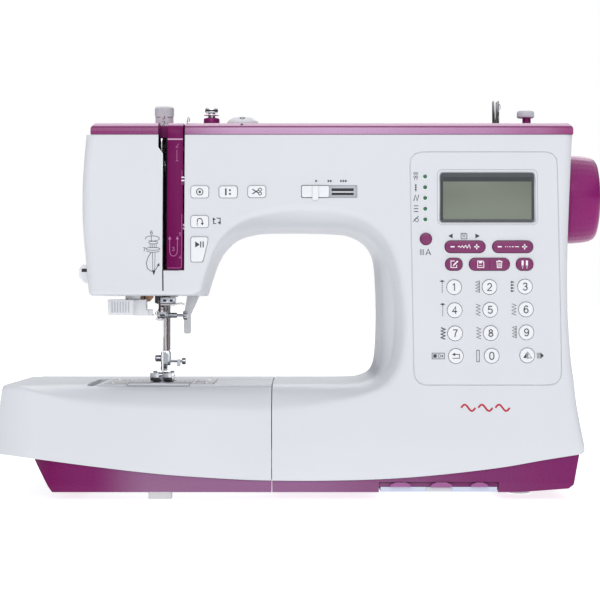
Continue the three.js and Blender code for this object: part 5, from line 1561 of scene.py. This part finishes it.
# winder thread guide: coloured base, thin disc and plated cap
cx, cy = -66.4, -38
ob = add("guide_base", lathe([(0, 266.6), (5.6, 266.6), (5.8, 267.4), (5.8, 272.6), (5.5, 273.4), (3.2, 273.9), (0, 273.9)], (cx, cy, 0), "z", 40), M["magenta"])
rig.replaces(ob, "winder_thread_guide")
add("guide_disc", join("gd", [lathe([(0, 273.8), (2.6, 273.8), (2.6, 275.2), (5.4, 275.4), (5.6, 275.7), (5.4, 276.0), (2.8, 276.2), (2.6, 277.2), (0, 277.2)], (cx, cy, 0), "z", 36)]), M["chrome"])
add("guide_cap", lathe([(0, 277.0), (3.6, 277.0), (4.5, 277.7), (4.7, 278.6), (4.6, 280.4), (4.1, 281.1), (2.0, 281.3), (1.4, 280.6), (0, 280.4)], (cx, cy, 0), "z", 36), M["chrome"])
add("guide_cap_band", lathe([(4.72, 278.3), (4.76, 278.7), (4.72, 279.4)], (cx, cy, 0), "z", 36), M["dark"])

# winder spindle
cx, cy = 142.6, -28
ob = add("spindle", lathe([(0, 249), (2.4, 249), (2.4, 267.2), (2.6, 269.6), (2.6, 286.6), (2.2, 287.4), (1.2, 287.6), (0, 287.6)], (cx, cy, 0), "z", 28), M["chrome"], "winder_spindle")
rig.replaces(ob, "winder_spindle")
add("spindle_collar", lathe([(0, 266.9), (3.3, 266.9), (3.5, 267.3), (3.5, 268.2), (3.0, 268.6), (0, 268.6)], (cx, cy, 0), "z", 28), M["dark"], "winder_spindle")
add("spindle_slot", rbox(cx - 0.45, cx + 0.45, cy - 2.75, cy - 2.0, 270.5, 286.4, 0.1, 1), M["dark"], "winder_spindle")
add("spindle_spring", tube([(cx + 1.8, cy - 1.2, 279.0), (cx + 3.2, cy - 1.2, 281.6), (cx + 3.2, cy - 1.2, 284.2), (cx + 1.8, cy - 1.2, 286.4)], 0.35, 8), M["steel"], "winder_spindle")
# stopper
st = join("st", [lathe([(0, 266.8), (3.1, 266.8), (3.1, 275.2), (0, 275.2)], (165.4, -28, 0), "z", 28)])
ob = add("stopper_stem", st, M["magenta"], "winder_stopper")
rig.replaces(ob, "winder_stopper")
add("stopper_cap", lathe([(0, 274.8), (5.8, 274.8), (6.3, 275.3), (6.4, 276.2), (6.3, 278.8), (5.7, 279.7), (4.4, 280), (0, 280)], (164.6, -28, 0), "z", 40), M["pale_grey"], "winder_stopper")
ob = add("pin_spool", join("sp", [cyl((20.5, -19, 259), (88, -19, 259), 2.8, 20, bevel=0.8), cyl((18.5, -19, 259), (21, -19, 259), 7, 32, bevel=0.4),
                                  rbox(24, 84, -19.5, -18.5, 261.2, 262.0, 0.2, 1)]), M["pale_grey"])
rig.replaces(ob, "spool_pin")
# carrying handle
hp = [(0, 13), (12, 13), (12, 29), (118, 29), (118, 13), (130, 13), (130, 36), (127, 40), (3, 40), (0, 36)]
me = rprism(fillet(hp, 2.5, 4), 252, 261, "z", 1.2, 3)
ob = add("handle", me, M["magenta"], "carry_handle", 40)
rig.replaces(ob, "carry_handle")
for xx in (-4, 131):
    pass

# ---------------------------------------------------------------- needle bar, clamp and needle
nx, ny = -102.5, -33.5
nb = [cyl((nx, ny, 127), (nx, ny, 236), 3.1, 28), cyl((nx, ny, 131.6), (nx, ny, 134.2), 3.5, 28, bevel=0.3)]
ob = add("bar_needle", join("nb", nb), M["bar"], "needle_bar")
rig.replaces(ob, "needle_bar")
cl = [rprism(fillet([(-106.6, ny - 3.6), (-99.0, ny - 3.6), (-99.0, ny + 3.6), (-106.6, ny + 3.6)], 1.6, 4), 127.2, 132.0, "z", 0.35, 2),
      cyl((-106.4, ny, 129.4), (-98.6, ny, 129.4), 2.7, 28, bevel=0.3),
      rbox(-105.6, -99.8, ny - 4.4, ny - 3.2, 128.0, 130.9, 0.3, 2)]
add("needle_clamp_body", join("cl", cl), M["shiny"], "needle_bar")
dk = [rbox(-104.2, -100.6, ny - 4.55, ny - 4.3, 128.9, 130.1, 0.05, 1), cyl((nx, ny - 3.35, 136.2), (nx, ny - 2.9, 136.2), 1.0, 16)]
add("needle_clamp_dark", join("dk", dk), M["dark"], "needle_bar")
g = tube([(-104.5, ny - 4.6, 127.6), (-101.5, ny - 5.4, 126.6), (-99.4, ny - 5.4, 126.9), (-100.4, ny - 5.2, 128.0)], 0.42, 8)
g2 = tube([(-104.6 + 1.3 * math.cos(a) - 1.6, ny - 4.2, 131.0 + 1.5 * math.sin(a)) for a in np.linspace(-0.4, 5.4, 16)], 0.42, 8)
g3 = tube([(-106.0, ny - 4.2, 127.9), (-107.6, ny - 4.8, 126.6), (-105.6, ny - 5.2, 125.9), (-102.4, ny - 5.0, 126.0)], 0.42, 8)
add("needle_thread_guide", join("g", [g, g2, g3]), M["steel"], "needle_bar")
ndl = lathe([(0, 82.6), (0.28, 84.0), (0.5, 86.5), (0.55, 88), (0.62, 112.5), (1.05, 114.5), (1.1, 126.6), (0, 126.6)], (nx, ny, 0), "z", 20)
ob = add("needle_steel", ndl, M["chrome"], "needle_bar")
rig.replaces(ob, "needle")
add("needle_eye", rbox(nx - 0.16, nx + 0.16, ny - 0.6, ny - 0.2, 86.4, 88.2, 0.02, 1), M["dark"], "needle_bar")
sc_ = [cyl((-98.4, ny, 129.4), (-92.0, ny, 129.4), 1.9, 24, bevel=0.2), cyl((-92.2, ny, 129.4), (-87.3, ny, 129.4), 1.0, 16)]
v, f = [], []
rows = [(0, -87.6), (2.4, -87.6), (3.2, -87.2), (3.4, -86.8), (3.4, -85.2), (3.1, -84.6), (2.2, -84.4), (0, -84.4)]
N = 48
for i in range(N):
    a = 2 * math.pi * i / N
    for r, h in rows:
        rr = r - (0.35 if r > 3 and i % 4 in (2, 3) else 0)
        v.append((h, ny + rr * math.cos(a), 129.4 + rr * math.sin(a)))
for i in range(N):
    j = (i + 1) % N
    for k in range(len(rows) - 1):
        f.append([i * 8 + k, j * 8 + k, j * 8 + k + 1, i * 8 + k + 1])
sc_.append(to_mesh("scr", v, f))
ob = add("clamp_screw", join("cs", sc_), M["shiny"], "needle_clamp_screw")
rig.replaces(ob, "needle_clamp_screw")

# ---------------------------------------------------------------- presser bar, holder and foot
px, py = -101.0, -17.0
ob = add("bar_presser", join("pb", [cyl((px, py, 103.4), (px, py, 206), 3.0, 28)]), M["bar"], "presser_bar")
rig.replaces(ob, "presser_bar")
hold = [rprism([(-104.8, 92.2), (-97.8, 92.2), (-97.8, 100.8), (-99.2, 103.2), (-103.6, 103.2), (-104.8, 101.6)], py - 5, py + 5, "y", 0.5, 2),
        rprism([(-29.0, 88.4), (-12.6, 88.4), (-12.6, 93), (-26.0, 93), (-29.0, 90.4)], -104.3, -99.9, "x", 0.3, 2)]
ob = add("holder_foot", join("ho", hold), M["shiny"], "presser_bar")
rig.replaces(ob, "foot_holder")
add("holder_face", rprism([(-104.0, 93.2), (-99.6, 93.2), (-99.6, 101.0), (-104.0, 101.0)], py - 5.5, py - 4.9, "y", 0.15, 1), M["pale_grey"], "presser_bar")
add("holder_screw", join("hs", [cyl((-109.2, py, 97.3), (-104.4, py, 97.3), 2.5, 28, bevel=0.5), cyl((-109.4, py, 97.3), (-108.8, py, 97.3), 1.5, 20)]), M["shiny"], "presser_bar")
add("holder_screw_slot", rbox(-109.45, -109.0, py - 2.4, py + 2.4, 97.0, 97.6, 0.05, 1), M["dark"], "presser_bar")
ts = [cyl((-98.0, py, 95.2), (-89.4, py, 95.2), 1.0, 16), cyl((-89.4, py, 95.2), (-86.6, py, 95.2), 2.5, 28, bevel=0.4),
      rprism(fillet([(-93.0, 91.4), (-90.6, 91.4), (-90.6, 96.4), (-93.0, 96.4)], 0.6, 2), py - 1.2, py + 1.2, "y", 0.2, 1)]
add("holder_thumbscrew", join("ts", ts), M["shiny"], "presser_bar")
add("holder_ribs", join("rb", [rbox(-104.5, -99.7, -29.3 + 0.0, -28.2, 88.8 + i * 1.1, 89.3 + i * 1.1, 0.1, 1) for i in range(3)]), M["dark"], "presser_bar")
# foot: two upturned toes, slot between, ankle pin and ears
def toe(x0, x1):
    return rprism([(-51.4, 87.4), (-51.7, 84.4), (-49.6, 82.6), (-46.4, 81.5), (-24, 81.4), (-12.2, 83.3), (-12.0, 84.7), (-28, 84.6), (-43.5, 84.4), (-47.6, 85.3), (-49.6, 87.6)], x0, x1, "x", 0.25, 2)
ft = [toe(-110.4, -103.9), toe(-101.1, -94.6), rprism([(-31, 81.4), (-24, 81.4), (-12.2, 83.3), (-12.2, 84.7), (-31, 84.5)], -104.2, -100.8, "x", 0.15, 1),
      cyl((-108.5, -21.5, 86.5), (-96.6, -21.5, 86.5), 0.9, 16),
      rprism(fillet([(-27, 84), (-16, 84), (-17.5, 88.1), (-25.5, 88.1)], 1.0, 3), -110.2, -107.6, "x", 0.3, 2),
      rprism(fillet([(-27, 84), (-16, 84), (-17.5, 88.1), (-25.5, 88.1)], 1.0, 3), -97.4, -94.8, "x", 0.3, 2)]
ob = add("foot", join("ft", ft), M["shiny"], "presser_foot")
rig.replaces(ob, "presser_foot")
add("foot_marks", join("fm", [rbox(-109.3, -108.0, -46.6, -40, 84.45, 84.62, 0.05, 1), rbox(-96.9, -95.6, -46.6, -40, 84.45, 84.62, 0.05, 1)]), M["dark"], "presser_foot")

# lifter
lf = [(-86.5, 151.5), (-77.5, 151.5), (-77.5, 143.5), (-83.8, 129.5), (-83.8, 115.3), (-89, 115.3), (-89, 129.5), (-86.5, 143.5)]
ob = add("lifter", join("lf", [rprism(fillet(lf, 1.6, 4), -1.5, 3.5, "y", 0.6, 3), cyl((-86.5, 1, 151.5), (-77.5, 1, 151.5), 4, 28, bevel=0.4)]), plastic("m_lifter", (0.80, 0.81, 0.83), 0.4, 0.03, 1300, 0.02), "presser_lifter", 40)
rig.replaces(ob, "presser_lifter")
# threader: ribbed grip, body, hook arm and rod
th = [rprism(fillet([(-141.2, 129.6), (-122.2, 129.6), (-122.2, 141), (-141.2, 141)], 1.3, 3), -50, -32, "y", 0.9, 3),
      rprism([(-122.6, 129.2), (-112, 129.2), (-112, 132.4), (-113.6, 134.4), (-113.6, 141), (-122.6, 141)], -46, -36, "y", 0.5, 2),
      rbox(-113, -109.4, -44, -40, 129.2, 134, 0.4, 2), rbox(-129, -118, -44, -36, 140, 182, 0.6, 2)]
ob = add("threader", join("th", th), M["threader"], "needle_threader", 40)
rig.replaces(ob, "needle_threader")
add("threader_ribs", join("tr", [rbox(-138.5 + i * 2.0, -137.7 + i * 2.0, -50.35, -49.6, 131.4, 139.4, 0.2, 1) for i in range(7)]), M["pale_grey"], "needle_threader")
add("threader_hook", tube([(-112.5, -42, 130.0), (-110.4, -41.2, 129.6), (-108.6, -38.2, 129.8)], 0.4, 8), M["steel"], "needle_threader")

# ---------------------------------------------------------------- parts under the head, fixed
hb = [rprism([(-107.4, 143.0), (-90.6, 143.0), (-90.6, 143.9), (-88.6, 144.6), (-107.4, 144.6)], -45.5, -44.0, "y", 0.1, 1),
      rprism([(-107.4, 138.6), (-105.0, 137.6), (-104.6, 144.4), (-107.4, 144.4)], -45.4, -42.6, "y", 0.15, 1)]
add("head_bracket", join("hb", hb), M["dark"])
bu = [rprism(fillet([(-103.8, 137.8), (-92.4, 137.8), (-92.4, 142.8), (-103.8, 142.8)], 1.0, 3), -42.5, -38.2, "y", 0.3, 2)]
me = join("bu", bu)
add("head_bushing", me, M["shiny"])
add("head_bushing_slots", join("bs", [rbox(-101.6, -99.4, -42.8, -42.3, 139.3, 141.0, 0.1, 1), rbox(-96.8, -94.6, -42.8, -42.3, 139.3, 141.0, 0.1, 1)]), M["dark"])
add("head_guide_pin", join("gp", [tube([(-99.6, -41, 137.4), (-94, -42.2, 137.5), (-88.4, -42.6, 138.3), (-86.0, -42.6, 137.4)], 0.55, 8), rbox(-103.4, -93.2, -42.4, -38.6, 136.6, 137.7, 0.15, 1)]), M["steel"])
add("head_plate", join("hp", [rprism([(-126.0, 139.5), (-112.2, 139.5), (-109.4, 142.4), (-109.4, 144.4), (-126.0, 144.4)], -33, -31.5, "y", 0.1, 1)]), M["copper"])
add("head_plate_dark", join("hp", [rbox(-127.4, -120.6, -34.4, -33.2, 140.6, 144.2, 0.1, 1), rbox(-116.2, -115.4, -33.9, -33.1, 140, 144, 0.05, 1)]), M["dark"])
# thread cutter on the left of the head
tc_ = [rprism([(-156.0, 153.2), (-150.4, 151.4), (-150.0, 166.0), (-157.0, 165.8), (-159.4, 162.6), (-159.4, 157.2)], -72, -56, "y", 0.6, 3)]
add("cutter_body", join("tc", tc_), M["white_key"])
add("cutter_slot", rbox(-157.6, -153.2, -72.3, -57, 160.6, 163.0, 0.2, 1), M["dark"])

# ---------------------------------------------------------------- needle plate and bobbin area
def keep(name, mat, w=0.3, seg=2):
    o = frame["nodes"][name]
    o.data.materials.clear(); o.data.materials.append(mat)
    if w:
        bevel_obj(o, w, seg, 32)
    return o
keep("needle_plate", M["plate"], 0.15)
keep("bobbin_cover", plastic("m_bobbin_cover", (0.58, 0.60, 0.64), 0.25, 0.03, 900, 0.02, 0.5), 0.2)
keep("feed_dog", M["steel_x"], 0.1, 1)
keep("free_arm_cover", M["white"], 1.0, 3)
keep("machine_frame", M["cast"], 0.8, 2)
keep("motor", plastic("m_motor", (0.06, 0.065, 0.07), 0.4, 0.15, 500, 0.15, 0.5, 0, 0.4), 0.6)
keep("power_switch", M["dark"], 0.2)
keep("stitch_card_tray", plastic("m_card", (0.56, 0.62, 0.74), 0.45, 0.03, 1300, 0.03, 0.4), 0.3)
ob = add("hook", lathe([(0, 42), (5, 42), (5, 50), (17.4, 51.9), (18.4, 52.6), (19.4, 55.4), (19.6, 57), (19.6, 73.9), (19.2, 74.5), (17.9, 74.5), (17.6, 73.9), (17.6, 60.4), (17, 60), (0, 60)], (-102.5, -54.5, 0), "z", 56), M["steel"], "rotary_hook")
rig.replaces(ob, "rotary_hook")
add("hook_marks", join("hm", [rbox(-84.2, -82.8, -56, -53, 66, 70, 0.2, 1) for _ in range(1)] + [cyl((-102.5, -54.5, 60.0), (-102.5, -54.5, 60.3), 2.2, 20)]), M["dark"], "rotary_hook")
ob = add("bobbin_body", lathe([(3, 61.5), (9.9, 61.5), (10.2, 61.8), (10.2, 62.6), (9.9, 62.9), (5.5, 63.0), (5.5, 71.5), (9.9, 71.6), (10.2, 71.9), (10.2, 72.7), (9.9, 73), (3, 73), (3, 61.5)], (-102.5, -54.5, 0), "z", 40), M["clear"], "bobbin")
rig.replaces(ob, "bobbin")
prof = [(5.4, 63.05)] + [(8.2 + 0.12 * (i % 2), 63.1 + i * 0.21) for i in range(40)] + [(5.4, 71.5)]
add("bobbin_thread", lathe(prof, (-102.5, -54.5, 0), "z", 40), plastic("m_thread", (0.45, 0.05, 0.25), 0.8, 0.2, 2500, 0.3, 0.2), "bobbin")
teeth = []
for x0, x1 in ((-111, -108.5), (-96.5, -94)):
    for i in range(10):
        yy = -34.0 + i * 1.65
        teeth.append(prism("t", [(yy, 80.0), (yy + 1.3, 80.0), (yy + 0.2, 80.75)], x0 + 0.1, x1 - 0.1, "x"))
add("feed_teeth", join("ft", teeth), M["steel_x"], "feed_dog")
sc_ = []
for x, y in ((-136.5, -60), (-136.5, -9), (-69, -60), (-69, -9)):
    sc_.append(cyl((x, y, 80.7), (x, y, 81.1), 2.3, 20, bevel=0.15))
add("plate_screws", join("ps", sc_), M["chrome"])
add("plate_screw_slots", join("pl", [rbox(x - 1.8, x + 1.8, y - 0.25, y + 0.25, 81.02, 81.14, 0.02, 1) for x, y in ((-136.5, -60), (-136.5, -9), (-69, -60), (-69, -9))]), M["dark"])
ln = []
for i in range(6):
    x = -90.0 + i * 3.2
    ln.append(rbox(x - 0.12, x + 0.12, -30, -14, 80.9, 80.96, 0.01, 1))
    ln.append(rbox(-115 - i * 3.2 - 0.12, -115 - i * 3.2 + 0.12, -30, -14, 80.9, 80.96, 0.01, 1))
add("plate_rules", join("pr", ln), M["print"])
# release catch of the bobbin cover and wire end at the right of the plate
add("plate_release", join("pr", [rprism([(-77.6, 80.9), (-70.4, 80.9), (-71.2, 81.9), (-76.4, 82.0)], -52, -46, "y", 0.15, 1), rprism([(-64.0, 80.8), (-62.6, 80.8), (-61.2, 83.6), (-62.0, 83.4)], -50, -48, "y", 0.05, 1)]), M["steel_x"])

# ---------------------------------------------------------------- base: card recess, feet
lobes = []
for xa, xb in ((60.89, 77.06), (89.72, 105.89), (117.85, 131.21)):
    lobes.append(rprism(fillet([(xa, 9.2), (xb, 9.2), (xb - 1.5, 11.2), (xb - 4.5, 12.4), (xa + 4.5, 12.4), (xa + 1.5, 11.2)], 1.2, 3), -93.6, -90.8, "y", 0.4, 2))
add("recess_lobes", join("lb", lobes), plastic("m_lobe", (0.32, 0.10, 0.27), 0.3, 0.03, 1300, 0.02, 0.3))
add("recess_back", rbox(54.2, 137.7, -90.4, -89.4, 9.25, 12.7, 0.05, 1), M["base"])
# roof of the card recess: near-black painted shade
add("recess_roof", rbox(54.2, 137.7, -90.6, -7, 12.0, 12.7, 0.05, 1), M["inside"])
add("tray_grip", join("tg", [rprism(fillet([(86, 5.7), (106, 5.7), (104, 8.9), (88, 8.9)], 1.0, 3), -91.2, -90.2, "y", 0.3, 2)]), M["pale_grey"], "stitch_card_tray")
ft = []
for x, y in ((157.7, -44), (157.7, 76), (2, -20), (2, 76)):
    ft.append(lathe([(0, 0), (6.6, 0), (7.6, 0.4), (8.0, 1.2), (8.0, 9), (0, 9)], (x, y, 0), "z", 32))
add("feet_base", join("ft", ft), M["rubber"])
ft = [rbox(-108.7, -92.3, -88, -79, 0, 7, 0.8, 3), lathe([(0, 0), (6.6, 0), (7.6, 0.4), (8.0, 1.2), (8.0, 7.2), (0, 7.2)], (-100.5, 72, 0), "z", 32),
      lathe([(0, 0), (5.8, 0), (6.7, 0.4), (7.0, 1.2), (7.0, 7.2), (0, 7.2)], (-168, -20, 0), "z", 32)]
add("feet_table", join("ft", ft), M["rubber"], "extension_table")

# ---------------------------------------------------------------- right side: vents and switch frame, back: screws, plate, grille
# dark strips standing for the vent slots: painted shade inside them
vt = []
for zt in (79.36, 74.32, 68.7, 63.51, 58.11):
    vt.append(rbox(184.5, np.interp(zt, [54.3, 68.8, 83.8], [195.05, 192.55, 190.95]) + 0.12, -72, -40, zt - 0.9, zt + 0.9, 0.3, 1))
    vt.append(rbox(184.5, np.interp(zt, [54.3, 68.8, 83.8], [195.05, 192.55, 190.95]) + 0.12, -34, -8, zt - 0.9, zt + 0.9, 0.3, 1))
add("side_vents", join("vt", vt), M["dark"])
zz = [62.5, 66.2, 68.9, 73.4]
sf = rprism(round_rect(20.2, 60.2, 35.8, 75.8, 1.6), 190.2, 193.6, "x", 0.3, 2)
sf = boolean(sf, [box_me(180, 200, 21.4, 34.6, 61.4, 74.6)])
add("switch_frame", sf, M["dark"])
soc = rprism(round_rect(20.2, 34, 41.8, 52, 1.4), 193.2, 198.9, "x", 0.3, 2)
soc = boolean(soc, [prism("a", round_rect(23, 36.6, 39, 49.4, 3.0), 195.5, 205, "x")])
add("inlet_frame", soc, M["dark"])
add("inlet_back", rbox(193.4, 195.5, 22.4, 39.6, 36.2, 49.8, 0.2, 1), M["dark"])
add("inlet_pins", join("ip", [cyl((195.4, 28.2, 43), (198.2, 28.2, 43), 1.1, 12), cyl((195.4, 33.8, 43), (198.2, 33.8, 43), 1.1, 12)]), M["steel"])
add("pedal_jack", join("pj", [lathe([(2.2, 193.6), (4.2, 193.6), (4.4, 197.6), (2.2, 197.8), (2.2, 193.6)], (0, 4, 43), "x", 24)]), M["dark"])
rs = []
for x, z in ((-140, 160), (-140, 246), (180, 246), (176, 96), (20, 246), (100, 246)):
    rs.append(lathe([(0, 49.4), (2.6, 49.4), (2.8, 50.3), (3.9, 50.35), (4.1, 49.6)], (x, 0, z), "y", 24))
add("rear_screw_wells", join("rs", rs), M["pale_grey"])
add("rear_screws", join("rs", [lathe([(0, 50.3), (2.0, 50.3), (2.3, 50.1), (2.3, 49.0)], (x, 0, z), "y", 20) for x, z in ((-140, 160), (-140, 246), (180, 246), (176, 96), (20, 246), (100, 246))]), M["steel"])
# dark strips standing for the grille slots: painted shade inside them
vr = []
for i in range(9):
    vr.append(rbox(96, 150, 49.6, 50.25, 150 + i * 5.2, 152 + i * 5.2, 0.3, 1))
add("rear_vents", join("vr", vr), M["dark"])
add("rear_plate", rprism(round_rect(96, 108, 150, 136, 2), 49.8, 50.3, "y", 0.1, 1), M["pale_grey"])
# strip of print left of the thread channel
p = []
def loop(cx, cy, rx, ry, a0=0, a1=360, n=22):
    return [(px_to(cx + rx * math.cos(math.radians(a0 + (a1 - a0) * i / n)), cy + ry * math.sin(math.radians(a0 + (a1 - a0) * i / n)))) for i in range(n + 1)]
def px_to(u, v):
    k_ = 0.7
    return ((u - 300) * k_ - 1.7, 140.6 - (v - 300) * k_)
p += digit("6", px_to(150.8, 232.2), 2.6, 0.36, F2, 0.1)
p += digit("7", px_to(143.6, 249.4), 2.6, 0.36, F2, 0.1)
p.append(ribbon([px_to(150.8, 235.0), px_to(150.8, 241.5)], 0.32, F2))
p.append(ribbon(loop(151.8, 238.2, 7.0, 2.6, -200, 120), 0.36, F2))
p.append(ribbon(loop(152.6, 242.4, 4.6, 1.4), 0.34, F2))
p.append(ribbon(loop(152.4, 248.6, 7.0, 1.5), 0.34, F2))
p.append(ribbon(loop(152.4, 250.6, 6.4, 1.5, 0, 180), 0.34, F2))
for u in (149.6, 151.6, 153.6, 155.6):
    p.append(ribbon([px_to(u, 243.2), px_to(u, 248.0)], 0.3, F2))
p.append(ribbon([px_to(152.0, 251.8), px_to(152.2, 270.8)], 0.3, F2))
p.append(ribbon([px_to(154.6, 251.8), px_to(154.2, 270.8)], 0.3, F2))
p.append(patch([px_to(151.6, 270.6), px_to(155.0, 270.6), px_to(153.4, 275.4)], F2))
p.append(ribbon([px_to(150.6, 252.0), px_to(147.4, 257.4), px_to(145.8, 263.0), px_to(147.0, 268.4), px_to(151.0, 271.2), px_to(155.0, 269.6), px_to(157.8, 265.6)], 0.42, F2))
p.append(patch([px_to(156.2, 265.4), px_to(159.2, 266.0), px_to(158.6, 262.6)], F2))
ink("print_threading", p, M["print"])

VIS_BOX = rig.bounds()


def _plain(b):
    return [[float(c) for c in v] for v in b]


try:
    with open("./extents.json", "w") as fh:
        json.dump({"cad": _plain(CAD_BOX), "visual": _plain(VIS_BOX)}, fh)
except OSError:
    pass
